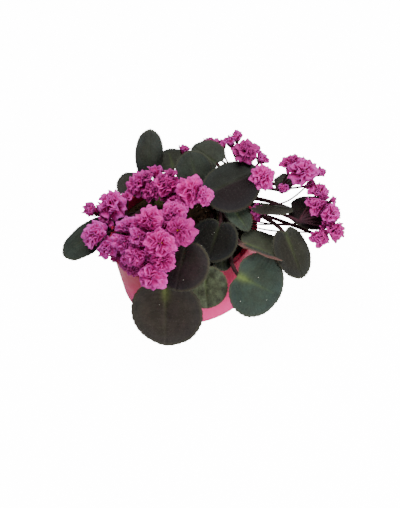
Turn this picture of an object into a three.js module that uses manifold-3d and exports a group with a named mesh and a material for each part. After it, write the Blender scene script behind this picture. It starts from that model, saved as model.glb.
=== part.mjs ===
// A potted African violet with double pink blooms, in millimetres, +Z up.
// The origin is the centre of the pot's underside. -Y is the front, over which the largest leaf hangs.
// A forked crown grows from the soil. Each leaf is one blade with its stalk, and each spray is one branched
// flower stalk with its calyxes and unopened buds. Every open bloom stands on one branch of a spray.
import * as THREE from 'three';
import { mergeVertices } from 'three/addons/utils/BufferGeometryUtils.js';
import Module from 'manifold-3d';

const wasm = await Module();
wasm.setup();

// Driving dimensions.
const GAP = 0.3; // clearance between pieces that rest against each other
const POT = {
  height: 53, topRadius: 58.5, baseRadius: 56, wall: 2.2, lip: 1.6, lipHeight: 5, floor: 3, sides: 30,
};
const UNDERSIDE = { hubRadius: 20, footWidth: 6, recess: 2 };
const DRAIN = { count: 6, radius: 3.2, ring: 36, sides: 8 };
const SOIL = { top: 45, mound: 3, roughness: 1, spokes: 20, rings: [1, 0.7, 0.38] };
const CROWN = { radius: 8, bottom: 29, top: 71, fork: 4, sides: 8 };
const BLADE = { thickness: 1.1, taper: 0.35, spokes: 18, rings: 2, scallop: 0.02, teeth: 9 };
const NOTCH = { depth: 0.2, width: 0.3 };
const TIP = { rise: 0.05, width: 0.35 };
const STALK = { root: 1.8, end: 1.3, sides: 5, steps: 4, overlap: 4 };
const FLOWER_STALK = { root: 1.5, end: 1.2, sides: 4, steps: 4, arch: 2 };
const PEDICEL = { root: 0.9, end: 0.75, sides: 3, arch: 0.06 };
const BUD_SIDES = 4;
const CALYX = { height: 3.2, flare: 0.14, rim: 0.5 };
const LIGHT = [0, -0.45, 0.4]; // the way that every bloom turns a little, to the light
const PETALS = { count: 5, thickness: 0.8, spacing: 1.3, stiff: 0.35, uneven: 0.1, ruffle: 0.16 };

// The two layers of petals. A petal's points are its notch, shoulder, tip and shoulder, as degrees round
// the bloom and share of its length. The other sizes are shares of the bloom's radius.
const OUTER = {
  lobe: [[0, 0.6], [10, 0.93], [36, 1], [62, 0.93]], shift: 0, length: 1, slope: 0.3, root: -0.1,
};
const INNER = {
  lobe: [[0, 1], [24, 0.9], [36, 0.55], [48, 0.9]], shift: 2, length: 0.72, slope: 0.85, root: 0,
};
const CORE = { bottom: 0.3, radius: 0.14, throat: 0.26, throatLift: 0.06, top: 0.2 };

const COLOURS = {
  pot: [0xd9587d, 0.42],
  soil: [0x2b1d14, 0.95],
  crown: [0x5d4a35, 0.8],
  leaf: [0x333d2c, 0.7],
  spray: [0x4a1f2c, 0.65],
  bloom: [0xc9469a, 0.6],
};

// Where the two heads of the crown stand.
const CROWNS = { left: [-12, 15], right: [30, 13] };

// Each leaf: the blade's notch and tip, its width, the way its face looks (up, unless given), how far the
// sides stand above the midrib, how far the tip bows down, the height at which its stalk leaves the crown,
// how far it leaves to one side, and how high it arches.
const LEAVES = [
  {
    name: 'leaf_front_big', crown: 'left',
    base: [-16, -64, 66], tip: [-25, -91, 26], width: 53,
    cup: -2, bow: 2, root: 52, side: 0, arch: 6,
  },
  {
    name: 'leaf_front_mid', crown: 'left',
    base: [4, -48, 87], tip: [-11, -74, 65], width: 40,
    cup: -2, bow: 2, root: 59, side: 2, arch: 4,
  },
  {
    name: 'leaf_front_small', crown: 'right',
    base: [12, -53, 63], tip: [9, -73, 38], width: 32,
    cup: 2, bow: 2, root: 51, side: -3, arch: 1,
  },
  {
    name: 'leaf_front_round', crown: 'right',
    base: [31, -62, 59], tip: [62, -77, 43], width: 48, face: [0.35, -0.75, 0.62],
    cup: -1, bow: 2, root: 52, side: 1, arch: 6,
  },
  {
    name: 'leaf_centre', crown: 'right',
    base: [30, -25, 78], tip: [15, -50, 63], width: 36,
    cup: 2, bow: 2, root: 60, side: -3, arch: 2,
  },
  {
    name: 'leaf_crest', crown: 'right',
    base: [19, -15, 93], tip: [62, -7, 103], width: 38, face: [-0.2, -0.5, 0.8],
    cup: -11, bow: 3, root: 65, side: -2, arch: 2,
  },
  {
    name: 'leaf_back_mid', crown: 'left',
    base: [18, 2, 86], tip: [15, 24, 105], width: 28,
    cup: -3, bow: 2, root: 63, side: 0, arch: 2,
  },
  {
    name: 'leaf_back_arch', crown: 'right',
    base: [37, 27, 83], tip: [18, 50, 90], width: 29, face: [-0.3, -0.3, 0.9],
    cup: -5, bow: 4, root: 57, side: 0, arch: 4,
  },
  {
    name: 'leaf_back_low', crown: 'left',
    base: [1, 33, 80], tip: [-1, 60, 85], width: 29,
    cup: -3, bow: 4, root: 57, side: 0, arch: 4,
  },
  {
    name: 'leaf_back_tall', crown: 'left',
    base: [-20, 35, 74], tip: [-11, 44, 114], width: 22, face: [0.1, -1, 0.3],
    cup: -2, bow: 2, root: 62, side: 0, arch: 2,
  },
  {
    name: 'leaf_left_back', crown: 'left',
    base: [-25, 15, 79], tip: [-38, 37, 84], width: 26,
    cup: -2, bow: 2, root: 57, side: -4, arch: 3,
  },
  {
    name: 'leaf_left_low', crown: 'left',
    base: [-52, -3, 74], tip: [-91, -19, 64], width: 31, face: [-0.15, -0.1, 1],
    cup: -2, bow: 3, root: 54, side: 0, arch: 1,
  },
  {
    name: 'leaf_right_oval', crown: 'right',
    base: [72, -39, 74], tip: [80, -69, 50], width: 26,
    cup: -2, bow: 2, root: 61, side: -0.5, arch: 1,
  },
  {
    name: 'leaf_right_long', crown: 'right',
    base: [54, -15, 78], tip: [81, -29, 81], width: 27, face: [0, 0.5, 0.85],
    cup: -3, bow: 2, root: 66.5, side: 0.5, arch: 2,
  },
  {
    name: 'leaf_right_dark', crown: 'right',
    base: [79, -20, 73], tip: [115, -34, 72], width: 34,
    cup: -2, bow: 2, root: 56, side: 5.5, arch: 8,
  },
  {
    name: 'leaf_right_back', crown: 'right',
    base: [74, 5, 76], tip: [89, 4, 80], width: 19,
    cup: -2, bow: 2, root: 61, side: 5.5, arch: 4,
  },
  {
    name: 'leaf_right_cup', crown: 'right',
    base: [38, -36, 65], tip: [69, -56, 58], width: 32, face: [0.1, 0.3, 0.9],
    cup: 7, bow: 0, root: 56, side: 0, arch: 2,
  },
  {
    name: 'leaf_inner', crown: 'right',
    base: [37, -9, 78], tip: [48, -33, 71], width: 17,
    cup: 3, bow: 2, root: 69, side: -2, arch: 1,
  },
  {
    name: 'leaf_front_low', crown: 'right',
    base: [26.5, -32, 63], tip: [25.5, -55, 57], width: 15,
    cup: -2, bow: 2, root: 64.5, side: 1.4, arch: 1,
  },
];

// Each spray: the crown it grows from, the hub where it branches, the heart that its blooms face away from,
// its open blooms as [x, y, z, radius], and its closed buds in the same form.
const SPRAYS = [
  {
    name: 'front', crown: 'left', hub: [-27, -45, 73], heart: [-18, -41, 61], root: 66, side: -2,
    blooms: [
      [-28, -50, 97, 9.5], [-14.5, -62, 100.5, 12], [-15, -66.5, 89, 9.5],
      [-24.5, -69, 79, 11], [-32.5, -57, 88, 9],
    ],
    buds: [[-42, -50, 78, 4.5]],
  },
  {
    name: 'left', crown: 'left', hub: [-42, -15, 77], heart: [-36, -15, 57], root: 62, side: -1,
    blooms: [
      [-62.5, -22.5, 80.5, 11], [-56, -31.5, 74.5, 8], [-48, -2.5, 89.5, 12.5],
      [-37.5, -32, 91, 9], [-40.5, -38.5, 85.5, 9.5],
    ],
    buds: [[-64, 2, 83, 7]],
  },
  {
    name: 'middle', crown: 'left', hub: [-6, -25, 77], heart: [-8, -29, 59], root: 63, side: 1,
    blooms: [[-19, -42.5, 104.5, 11.5], [-3, -34, 101, 9], [-1.5, -50.5, 98.5, 12]],
    buds: [],
  },
  {
    name: 'upper', crown: 'left', hub: [-6, 6, 79], heart: [-6, 1, 57], root: 68, side: 0,
    blooms: [
      [-27, 11, 93, 10], [-16, 0, 94, 8.5], [-4.5, -5, 100, 11],
      [0, -14, 92, 9], [11.5, -17, 102, 12.5], [19.5, -22, 101, 7.5],
    ],
    buds: [[-13, 16, 96, 6.5], [12, 41, 93, 5.5]],
  },
  {
    name: 'back', crown: 'right', hub: [45, 35, 73], heart: [42, 29, 65], root: 69.5, side: -1.5,
    blooms: [[32, 57, 80, 10]],
    buds: [[43, 57, 80, 4.5]],
  },
  {
    name: 'back_right', crown: 'right', hub: [52, 9, 87], heart: [50, 7, 69], root: 66, side: 3.5,
    blooms: [[56, 9.5, 108.5, 9.5], [63.5, -17.5, 104, 9]],
    buds: [[66, 4, 103, 5.5], [46, 19, 111, 5], [51, 21, 113, 5]],
  },
  {
    name: 'right', crown: 'right', hub: [76, -9, 81], heart: [72, -11, 69], root: 62.5, side: 2,
    blooms: [[87, -5, 101, 8.5], [92.5, -16.5, 102.5, 11]],
    buds: [[106, -11, 94, 4.5], [77, -19, 91, 5]],
  },
  {
    name: 'far_right', crown: 'right', hub: [84, -39, 76], heart: [80, -31, 65], root: 57.5, side: 1.5,
    blooms: [[101, -29, 92, 8.5], [98, -37, 88, 8], [106, -45, 85, 8.5]],
    buds: [[109, -37, 90, 3]],
  },
  {
    name: 'low_right', crown: 'right', hub: [94, -43, 65], heart: [86, -37, 69], root: 53, side: 1.5,
    blooms: [[97, -53, 71, 7.5], [107, -53, 75, 8.5]],
    buds: [],
  },
];

// A small repeatable random source, so that every build is the same.
function randomFrom(seed) {
  let state = seed >>> 0;
  return () => {
    state = (Math.imul(state, 1664525) + 1013904223) >>> 0;
    return state / 4294967296;
  };
}

const point = (p) => new THREE.Vector3(...p);

// A geometry as a solid that can be joined and cut.
function solidOf(geometry) {
  const bare = geometry.index ? geometry.toNonIndexed() : geometry;
  const positions = new THREE.BufferGeometry().setAttribute('position', bare.getAttribute('position'));
  const merged = mergeVertices(positions, 1e-4);
  return new wasm.Manifold(new wasm.Mesh({
    numProp: 3,
    vertProperties: merged.attributes.position.array,
    triVerts: new Uint32Array(merged.index.array),
  }));
}

function geometryOf(solid) {
  const mesh = solid.getMesh();
  const positions = new Float32Array(mesh.numVert * 3);
  for (let i = 0; i < mesh.numVert; i++) {
    positions.set(mesh.vertProperties.subarray(i * mesh.numProp, i * mesh.numProp + 3), i * 3);
  }
  const geometry = new THREE.BufferGeometry();
  geometry.setAttribute('position', new THREE.BufferAttribute(positions, 3));
  geometry.setIndex(new THREE.BufferAttribute(new Uint32Array(mesh.triVerts), 1));
  geometry.computeVertexNormals();
  return geometry;
}

// A closed surface from points and triangles.
function closedSurface(points, triangles) {
  const geometry = new THREE.BufferGeometry();
  geometry.setAttribute('position', new THREE.Float32BufferAttribute(points.flatMap((p) => p.toArray()), 3));
  geometry.setIndex(triangles);
  const solid = solidOf(geometry);
  return solid.volume() < 0 ? solidOf(geometry.setIndex(triangles.slice().reverse())) : solid;
}

function joined(solids) {
  return solids.reduce((all, one) => all.add(one));
}

// The largest body of a cut solid; scraps are dropped.
function mainBody(solid) {
  return solid.decompose().reduce((a, b) => (b.volume() > a.volume() ? b : a));
}

function boxesMeet(a, b) {
  const p = a.boundingBox();
  const q = b.boundingBox();
  return [0, 1, 2].every((k) => p.min[k] <= q.max[k] && q.min[k] <= p.max[k]);
}

// The solid cut back from each of the others, where they meet.
function clearOf(solid, others) {
  const near = others.filter((other) => boxesMeet(solid, other));
  return near.length ? mainBody(near.reduce((left, other) => left.subtract(other), solid)) : solid;
}

// A round bar along a curve, through stations of [place along the curve, radius], closed at each end.
function bar(curve, stations, sides) {
  const points = [curve.getPointAt(0), curve.getPointAt(1)];
  const triangles = [];
  const index = (i, j) => 2 + i * sides + (j % sides);
  const side = new THREE.Vector3(0.3, 0.2, 1);
  stations.forEach(([share, radius], i) => {
    const centre = curve.getPointAt(share);
    const tangent = curve.getTangentAt(share);
    side.addScaledVector(tangent, -side.dot(tangent)).normalize();
    const other = tangent.clone().cross(side);
    for (let j = 0; j < sides; j++) {
      const turn = (2 * Math.PI * j) / sides;
      points.push(centre.clone()
        .addScaledVector(side, radius * Math.cos(turn))
        .addScaledVector(other, radius * Math.sin(turn)));
      if (i < stations.length - 1) {
        triangles.push(index(i, j), index(i, j + 1), index(i + 1, j + 1));
        triangles.push(index(i, j), index(i + 1, j + 1), index(i + 1, j));
      }
    }
  });
  const last = stations.length - 1;
  for (let j = 0; j < sides; j++) {
    triangles.push(0, index(0, j + 1), index(0, j), 1, index(last, j), index(last, j + 1));
  }
  return closedSurface(points, triangles);
}

// Even stations for a bar that tapers from its root to its end.
function taper({ root, end, steps }, grow) {
  return Array.from({ length: steps + 1 }, (_, i) => {
    const share = i / steps;
    return [share, THREE.MathUtils.lerp(root, end, share) + grow];
  });
}

// A thin blade: a fan of points about a centre, ring by ring, split alike on both faces.
// The points are [centre, ring 1, ring 2, ...], and it is thickened both ways along one direction.
function thinBlade(points, direction, halves, spokes, rings) {
  const count = points.length;
  const both = [
    ...points.map((p, i) => p.clone().addScaledVector(direction, halves[i])),
    ...points.map((p, i) => p.clone().addScaledVector(direction, -halves[i])),
  ];
  const index = (ring, j) => (ring === 0 ? 0 : 1 + (ring - 1) * spokes + (j % spokes));
  const upper = [];
  for (let j = 0; j < spokes; j++) {
    upper.push([0, index(1, j), index(1, j + 1)]);
    for (let ring = 1; ring < rings; ring++) {
      upper.push([index(ring, j), index(ring + 1, j), index(ring + 1, j + 1)]);
      upper.push([index(ring, j), index(ring + 1, j + 1), index(ring, j + 1)]);
    }
  }
  const triangles = upper.flat();
  upper.forEach(([a, b, c]) => triangles.push(a + count, c + count, b + count));
  for (let j = 0; j < spokes; j++) {
    const a = index(rings, j);
    const b = index(rings, j + 1);
    triangles.push(a, a + count, b + count, a, b + count, b);
  }
  return closedSurface(both, triangles);
}

// The blade's own axes: along to the tip, across, and out of its face.
function bladeFrame(leaf) {
  const base = point(leaf.base);
  const along = point(leaf.tip).sub(base);
  const length = along.length();
  along.normalize();
  const face = point(leaf.face ?? [0, 0, 1]);
  face.addScaledVector(along, -face.dot(along)).normalize();
  return { base, along, across: face.clone().cross(along), face, length };
}

// The heart-shaped outline as a share of the ellipse, at an angle from the tip.
function outlineShare(angle) {
  const away = Math.abs(THREE.MathUtils.euclideanModulo(angle + Math.PI, 2 * Math.PI) - Math.PI);
  const notch = 1 - NOTCH.depth * Math.exp(-(((Math.PI - away) / NOTCH.width) ** 2));
  return notch * (1 + TIP.rise * Math.exp(-((away / TIP.width) ** 2)));
}

// A blade: its sides stand above or hang below the midrib, and it bows down towards its tip.
function bladeSolid(leaf, grow) {
  const { base, along, across, face, length } = bladeFrame(leaf);
  const height = (x, y) => leaf.cup * (Math.sqrt((2 * y / leaf.width) ** 2 + 0.02) - 0.14)
    - leaf.bow * ((x + length / 2) / length) ** 2;
  const points = [];
  const halves = [];
  const place = (x, y, share) => {
    points.push(base.clone().addScaledVector(along, x + length / 2).addScaledVector(across, y)
      .addScaledVector(face, height(x, y)));
    halves.push((BLADE.thickness / 2) * (1 - BLADE.taper * share) + grow);
  };
  place(0, 0, 0);
  for (let ring = 1; ring <= BLADE.rings; ring++) {
    const share = ring / BLADE.rings;
    for (let j = 0; j < BLADE.spokes; j++) {
      const angle = (2 * Math.PI * j) / BLADE.spokes;
      const reach = share * outlineShare(angle) * (1 + BLADE.scallop * Math.cos(BLADE.teeth * angle) * share);
      const long = reach * length / 2 + grow * share;
      const wide = reach * leaf.width / 2 + grow * share;
      place(long * Math.cos(angle), wide * Math.sin(angle), share);
    }
  }
  return thinBlade(points, face, halves, BLADE.spokes, BLADE.rings);
}

// Where a stalk leaves the crown on its way to a place.
function rootOf({ crown, root, side }, towards) {
  const [x, y] = CROWNS[crown];
  const outward = new THREE.Vector3(towards.x - x, towards.y - y, 0).normalize();
  const sideways = new THREE.Vector3(0, 0, 1).cross(outward);
  return new THREE.Vector3(x, y, root)
    .addScaledVector(outward, CROWN.radius / 2).addScaledVector(sideways, side);
}

// A leaf's stalk, from the crown over an arch and in under the blade.
function leafStalk(leaf, grow) {
  const { base, along, face, length } = bladeFrame(leaf);
  const end = base.clone().addScaledVector(along, length * 0.1 + STALK.overlap)
    .addScaledVector(face, -BLADE.thickness / 2);
  const root = rootOf(leaf, base);
  const middle = root.clone().lerp(base, 0.55);
  middle.z = Math.max(root.z, base.z) + leaf.arch;
  const curve = new THREE.CubicBezierCurve3(root, middle, base.clone().addScaledVector(along, -3), end);
  return bar(curve, taper(STALK, grow), STALK.sides);
}

function leafSolid(leaf, grow = 0) {
  return bladeSolid(leaf, grow).add(leafStalk(leaf, grow));
}

// A bloom's axis: away from its spray's heart, and a little up and forward, where the light comes from.
function facing(spray, bloom) {
  const away = point(bloom).sub(point(spray.heart)).normalize();
  return away.add(point(LIGHT)).normalize();
}

function calyxTop(spray, bloom) {
  return point(bloom).addScaledVector(facing(spray, bloom), -CORE.bottom * bloom[3] - GAP);
}

// A spray's main stalk, from its crown to its hub.
function sprayStalk(spray, grow) {
  const hub = point(spray.hub);
  const root = rootOf(spray, hub);
  const middle = root.clone().lerp(hub, 0.35);
  middle.z = Math.max(root.z, hub.z) + FLOWER_STALK.arch;
  const curve = new THREE.QuadraticBezierCurve3(root, middle, hub);
  return bar(curve, taper(FLOWER_STALK, grow), FLOWER_STALK.sides);
}

// A branch from the hub to a flower's end point, which it meets along the flower's axis.
function branch(spray, flower, end, straight, sides, stationsFrom, grow) {
  const hub = point(spray.hub);
  const axis = facing(spray, flower);
  const bend = end.clone().addScaledVector(axis, -straight);
  const reach = bend.distanceTo(hub);
  const start = hub.clone().addScaledVector(bend.clone().sub(hub).normalize(), -FLOWER_STALK.end / 2);
  const path = new THREE.CubicBezierCurve3(
    start,
    hub.clone().lerp(bend, 0.4).add(new THREE.Vector3(0, 0, reach * PEDICEL.arch)),
    bend.clone().addScaledVector(axis, -reach * 0.2),
    end,
  );
  const length = path.getLength();
  return bar(path, stationsFrom(length).map(([share, radius]) => [share, radius + grow]), sides);
}

// A branch that widens into the calyx under a bloom.
function bloomBranch(spray, bloom, grow) {
  const rim = CALYX.flare * bloom[3] + CALYX.rim;
  return branch(spray, bloom, calyxTop(spray, bloom), CALYX.height, PEDICEL.sides, (length) => [
    [0, PEDICEL.root], [0.5 * (1 - CALYX.height / length), PEDICEL.end],
    [1 - CALYX.height / length, PEDICEL.end], [1, rim],
  ], grow);
}

// A branch that ends in a closed, egg-shaped bud.
function budBranch(spray, flower, grow) {
  const radius = flower[3];
  const tip = point(flower).addScaledVector(facing(spray, flower), radius);
  return branch(spray, flower, tip, 2 * radius, BUD_SIDES, (length) => {
    const along = (z) => 1 - ((1 - z) * radius) / length;
    return [
      [0, PEDICEL.root], [0.5 * along(-1), PEDICEL.end], [along(-0.95), PEDICEL.end],
      [along(-0.45), 0.6 * radius], [along(0.2), 0.66 * radius], [along(0.8), 0.36 * radius],
    ];
  }, grow);
}

function spraySolid(spray, grow = 0) {
  return joined([
    sprayStalk(spray, grow),
    ...spray.blooms.map((bloom) => bloomBranch(spray, bloom, grow)),
    ...spray.buds.map((flower) => budBranch(spray, flower, grow)),
  ]);
}

// The planes half way to each neighbouring bloom, which petals are bent clear of.
function planesBetween(bloom, others) {
  const centre = point(bloom);
  return others.filter((other) => other !== bloom).flatMap((other) => {
    const normal = point(other).sub(centre);
    const distance = normal.length();
    if (distance > 1.3 * (bloom[3] + other[3])) return [];
    const room = (distance * bloom[3]) / (bloom[3] + other[3]) - GAP;
    return [{ normal: normal.normalize(), room, centre }];
  });
}

// A point eased back from each plane: it moves little near the bloom's middle and never passes the plane.
function bentClear(p, planes, inset) {
  planes.forEach(({ normal, room, centre }) => {
    const reach = room - inset;
    const free = PETALS.stiff * reach;
    const along = p.clone().sub(centre).dot(normal);
    if (along > free) {
      const eased = free + (reach - free) * Math.tanh((along - free) / (reach - free));
      p.addScaledVector(normal, eased - along);
    }
  });
  return p;
}

// A bloom is one closed surface, ring by ring from its foot to its middle: out under the outer petals
// and back over them, up the throat, and out and back again round the inner petals.
function bloomSolid(spray, bloom, others, random) {
  const z = facing(spray, bloom);
  const x = new THREE.Vector3(0, 0, 1).cross(z).normalize();
  const y = z.clone().cross(x);
  const planes = planesBetween(bloom, others);
  const [, , , radius] = bloom;
  const start = random() * 2 * Math.PI;
  const half = PETALS.thickness / 2;
  const spokes = 4 * PETALS.count;
  const points = [];
  const radial = (turn) => x.clone().multiplyScalar(Math.cos(turn)).addScaledVector(y, Math.sin(turn));
  const bent = (turn, out, lift, inset) => bentClear(
    point(bloom).addScaledVector(radial(turn), out).addScaledVector(z, lift), planes, inset,
  );
  const even = (out, lift, inset) => {
    for (let j = 0; j < spokes; j++) {
      points.push(bent(start + (2 * Math.PI * j) / spokes, out * radius, lift * radius, inset));
    }
  };
  const petals = ({ lobe, shift, length, slope, root }, inset) => {
    const lean = Math.atan(slope);
    const spread = Array.from({ length: PETALS.count }, () => 1 + PETALS.uneven * (random() - 0.6));
    const lifts = Array.from({ length: spokes }, () => PETALS.ruffle * (random() - 0.5));
    [-half, half].forEach((offset) => {
      for (let j = 0; j < spokes; j++) {
        const [degrees, share] = lobe[j % 4];
        const turn = start + THREE.MathUtils.degToRad((Math.floor(j / 4) * 360) / PETALS.count + degrees);
        const out = share * length * spread[Math.floor(((j + shift) % spokes) / 4)] * radius;
        const lift = root * radius + out * slope + lifts[j] * share * radius;
        points.push(bent(turn, out, lift, inset)
          .addScaledVector(radial(turn), -offset * Math.sin(lean))
          .addScaledVector(z, offset * Math.cos(lean)));
      }
    });
  };
  points.push(bent(0, 0, -CORE.bottom * radius, 0));
  even(CORE.radius, -CORE.bottom, 0);
  petals(OUTER, half);
  even(CORE.throat, CORE.throatLift, half);
  petals(INNER, half + PETALS.spacing);
  points.push(bent(0, 0, CORE.top * radius, 0));
  const rings = 6;
  const index = (ring, j) => 1 + ring * spokes + (j % spokes);
  const triangles = [];
  for (let j = 0; j < spokes; j++) {
    triangles.push(0, index(0, j + 1), index(0, j));
    triangles.push(points.length - 1, index(rings - 1, j), index(rings - 1, j + 1));
    for (let ring = 0; ring < rings - 1; ring++) {
      triangles.push(index(ring, j), index(ring, j + 1), index(ring + 1, j + 1));
      triangles.push(index(ring, j), index(ring + 1, j + 1), index(ring + 1, j));
    }
  }
  return closedSurface(points, triangles);
}

// The pot's wall, outside and inside, at a height.
function outer(z) {
  return POT.baseRadius + ((POT.topRadius - POT.lip - POT.baseRadius) * z) / POT.height;
}

function inside(z) {
  return outer(z) - POT.wall;
}

// The pot's wall, lip, floor and foot in one turned profile, with drain holes through the recess.
function potSolid() {
  const { height, topRadius, baseRadius, lipHeight, floor } = POT;
  const { hubRadius, footWidth, recess } = UNDERSIDE;
  const top = floor + recess;
  const bevel = 4;
  const profile = [
    [0, 0], [hubRadius, 0], [hubRadius + 2, recess], [baseRadius - footWidth - 2, recess],
    [baseRadius - footWidth, 0], [baseRadius - 1, 0], [outer(1.5), 1.5],
    [outer(height - lipHeight), height - lipHeight], [topRadius, height - lipHeight + 1],
    [topRadius, height - 1], [topRadius - 1, height], [inside(height), height],
    [inside(top + bevel), top + bevel], [inside(top) - bevel, top], [0, top],
  ].map(([r, z]) => new THREE.Vector2(r, z));
  const body = solidOf(new THREE.LatheGeometry(profile, POT.sides).rotateX(Math.PI / 2));
  const holes = Array.from({ length: DRAIN.count }, (_, i) => {
    const turn = (2 * Math.PI * i) / DRAIN.count;
    const hole = new THREE.CylinderGeometry(DRAIN.radius, DRAIN.radius, 3 * top, DRAIN.sides);
    hole.rotateX(Math.PI / 2).translate(DRAIN.ring * Math.cos(turn), DRAIN.ring * Math.sin(turn), top / 2);
    return solidOf(hole);
  });
  return holes.reduce((pot, hole) => pot.subtract(hole), body);
}

// The potting soil: it fills the pot to below the lip, with an uneven, slightly mounded top.
function soilSolid(random) {
  const { spokes, roughness, mound, top, rings } = SOIL;
  const bottom = POT.floor + UNDERSIDE.recess + GAP;
  const flat = Math.cos(Math.PI / POT.sides);
  const reach = (z) => (inside(z) - GAP) * flat;
  const points = [new THREE.Vector3(0, 0, bottom), new THREE.Vector3(0, 0, top + mound)];
  const place = (radius, z, j) => {
    const turn = (2 * Math.PI * j) / spokes;
    points.push(new THREE.Vector3(radius * Math.cos(turn), radius * Math.sin(turn), z));
  };
  const bevel = 5;
  for (let j = 0; j < spokes; j++) place(reach(bottom) - bevel, bottom, j);
  for (let j = 0; j < spokes; j++) place(reach(bottom + bevel), bottom + bevel, j);
  rings.forEach((share) => {
    for (let j = 0; j < spokes; j++) {
      place(share * reach(top), top + mound * (1 - share * share) + roughness * (2 * random() - 1), j);
    }
  });
  const index = (ring, j) => 2 + ring * spokes + (j % spokes);
  const last = 1 + rings.length;
  const triangles = [];
  for (let j = 0; j < spokes; j++) {
    triangles.push(0, index(0, j + 1), index(0, j), 1, index(last, j), index(last, j + 1));
    for (let ring = 0; ring < last; ring++) {
      triangles.push(index(ring, j), index(ring, j + 1), index(ring + 1, j + 1));
      triangles.push(index(ring, j), index(ring + 1, j + 1), index(ring + 1, j));
    }
  }
  return closedSurface(points, triangles);
}

// The crown: a short forked stem in the soil, with the leaf and flower stalks growing from its two heads.
function crownSolid(grow = 0) {
  const { radius, bottom, top, sides, fork } = CROWN;
  const profile = [
    [0, bottom - grow], [radius * 0.7 + grow, bottom - grow], [radius * 0.8 + grow, SOIL.top],
    [radius + grow, top - 12], [radius * 0.8 + grow, top - 4],
    [radius * 0.35 + grow, top + grow], [0, top + grow],
  ].map(([r, z]) => new THREE.Vector2(r, z));
  const heads = Object.values(CROWNS).map(([x, y]) => solidOf(
    new THREE.LatheGeometry(profile, sides).rotateX(Math.PI / 2).translate(x, y, 0),
  ));
  const [from, to] = Object.values(CROWNS).map(([x, y]) => new THREE.Vector3(x, y, bottom + fork + 1));
  const link = bar(new THREE.LineCurve3(from, to), [[0, fork + grow], [1, fork + grow]], sides);
  return joined([...heads, link]);
}

const plant = new THREE.Group();

function addPiece(name, solid, look) {
  const [color, roughness] = COLOURS[look];
  const material = new THREE.MeshStandardMaterial({ color, roughness, metalness: 0 });
  const mesh = new THREE.Mesh(geometryOf(solid), material);
  mesh.name = name;
  plant.add(mesh);
}

const crownGrown = crownSolid(GAP);
addPiece('pot', potSolid(), 'pot');
addPiece('soil', clearOf(soilSolid(randomFrom(7)), [crownGrown]), 'soil');
addPiece('crown', crownSolid(), 'crown');

const spraysGrown = [];
SPRAYS.forEach((spray) => {
  addPiece('spray_' + spray.name, clearOf(spraySolid(spray), [crownGrown, ...spraysGrown]), 'spray');
  spraysGrown.push(spraySolid(spray, GAP));
});

const leavesGrown = [];
LEAVES.forEach((leaf) => {
  addPiece(leaf.name, clearOf(leafSolid(leaf), [crownGrown, ...spraysGrown, ...leavesGrown]), 'leaf');
  leavesGrown.push(leafSolid(leaf, GAP));
});

const random = randomFrom(2024);
const allBlooms = SPRAYS.flatMap((spray) => spray.blooms);
SPRAYS.forEach((spray) => spray.blooms.forEach((bloom, i) => {
  const whole = bloomSolid(spray, bloom, allBlooms, random);
  addPiece('bloom_' + spray.name + '_' + (i + 1), clearOf(whole, [...spraysGrown, ...leavesGrown]), 'bloom');
}));

export default plant;
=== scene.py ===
"""Looks for a potted African violet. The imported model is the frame, and every node is replaced by a finer
piece.

Sizes are in millimetres, in the model's own frame, and each mesh is put in as metres.
"""

import math

import bpy
from mathutils import Matrix
import numpy as np


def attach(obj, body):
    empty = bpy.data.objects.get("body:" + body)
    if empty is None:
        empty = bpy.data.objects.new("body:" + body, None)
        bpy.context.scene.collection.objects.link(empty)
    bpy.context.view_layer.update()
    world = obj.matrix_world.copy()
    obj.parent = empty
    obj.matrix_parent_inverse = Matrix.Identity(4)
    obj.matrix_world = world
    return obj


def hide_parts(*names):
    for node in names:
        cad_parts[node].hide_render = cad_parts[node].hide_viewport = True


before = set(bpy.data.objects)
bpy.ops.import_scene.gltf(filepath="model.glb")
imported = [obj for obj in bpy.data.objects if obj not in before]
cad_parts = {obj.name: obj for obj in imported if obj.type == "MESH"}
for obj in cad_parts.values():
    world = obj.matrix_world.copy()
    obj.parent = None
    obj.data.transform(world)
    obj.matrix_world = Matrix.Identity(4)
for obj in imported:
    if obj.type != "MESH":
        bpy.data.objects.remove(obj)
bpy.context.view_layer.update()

# A millimetre in metres, and the gap between neighbouring pieces
MM = 0.001
GAP = 0.3
UP = np.array([0.0, 0.0, 1.0])

# Driving dimensions, the same as the model's
POT = dict(height=53, top_radius=58.5, base_radius=56, wall=2.2, lip=1.6, lip_height=5, floor=3)
UNDERSIDE = dict(hub_radius=20, foot_width=6, recess=2)
DRAIN = dict(count=6, radius=3.2, ring=36)
SOIL = dict(top=45, mound=3)
CROWN = dict(radius=8, bottom=29, top=71, fork=4)
CROWNS = dict(left=(-12, 15), right=(30, 13))
BLADE = dict(thickness=1.1, taper=0.35, scallop=0.004, teeth=34, tooth=0.008)
NOTCH = dict(depth=0.2, width=0.3)
TIP = dict(rise=0.02, width=0.35)
STALK = dict(root=1.8, end=1.3, overlap=4)
LEAF_STALK_STEPS = 28
FLOWER_STALK = dict(root=1.5, end=1.2, arch=2)
PEDICEL = dict(root=0.9, end=0.75, arch=0.06)
BARE_STALK = dict(radius=0.6, below=4)
CALYX = dict(height=3.2, flare=0.14, rim=0.5)
# How far the flowers turn to the light, forward and up
LIGHT = np.array([0, -0.45, 0.4])
# The bottom of a bloom's core, as a share of its radius below the centre
CORE_BOTTOM = 0.3
# The share of the room to its neighbour in which a petal keeps its shape
STIFF = 0.35
# A leaf's quilting: the spacing of its side veins as a share of half its length, how far they sweep
# forward, the spacing of the small veins between them and the rise of a dome
QUILT = dict(row=0.27, sweep=0.52, cell=4.2, dome=0.45)
# The groove along each kind of vein, its half width, and what the midrib's loses on the way to the tip
MIDRIB = dict(depth=0.6, wide=1.5, narrows=0.9)
SIDE_VEIN = dict(depth=0.3, wide=0.75)
SMALL_VEIN = dict(depth=0.18, wide=0.6)
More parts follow.
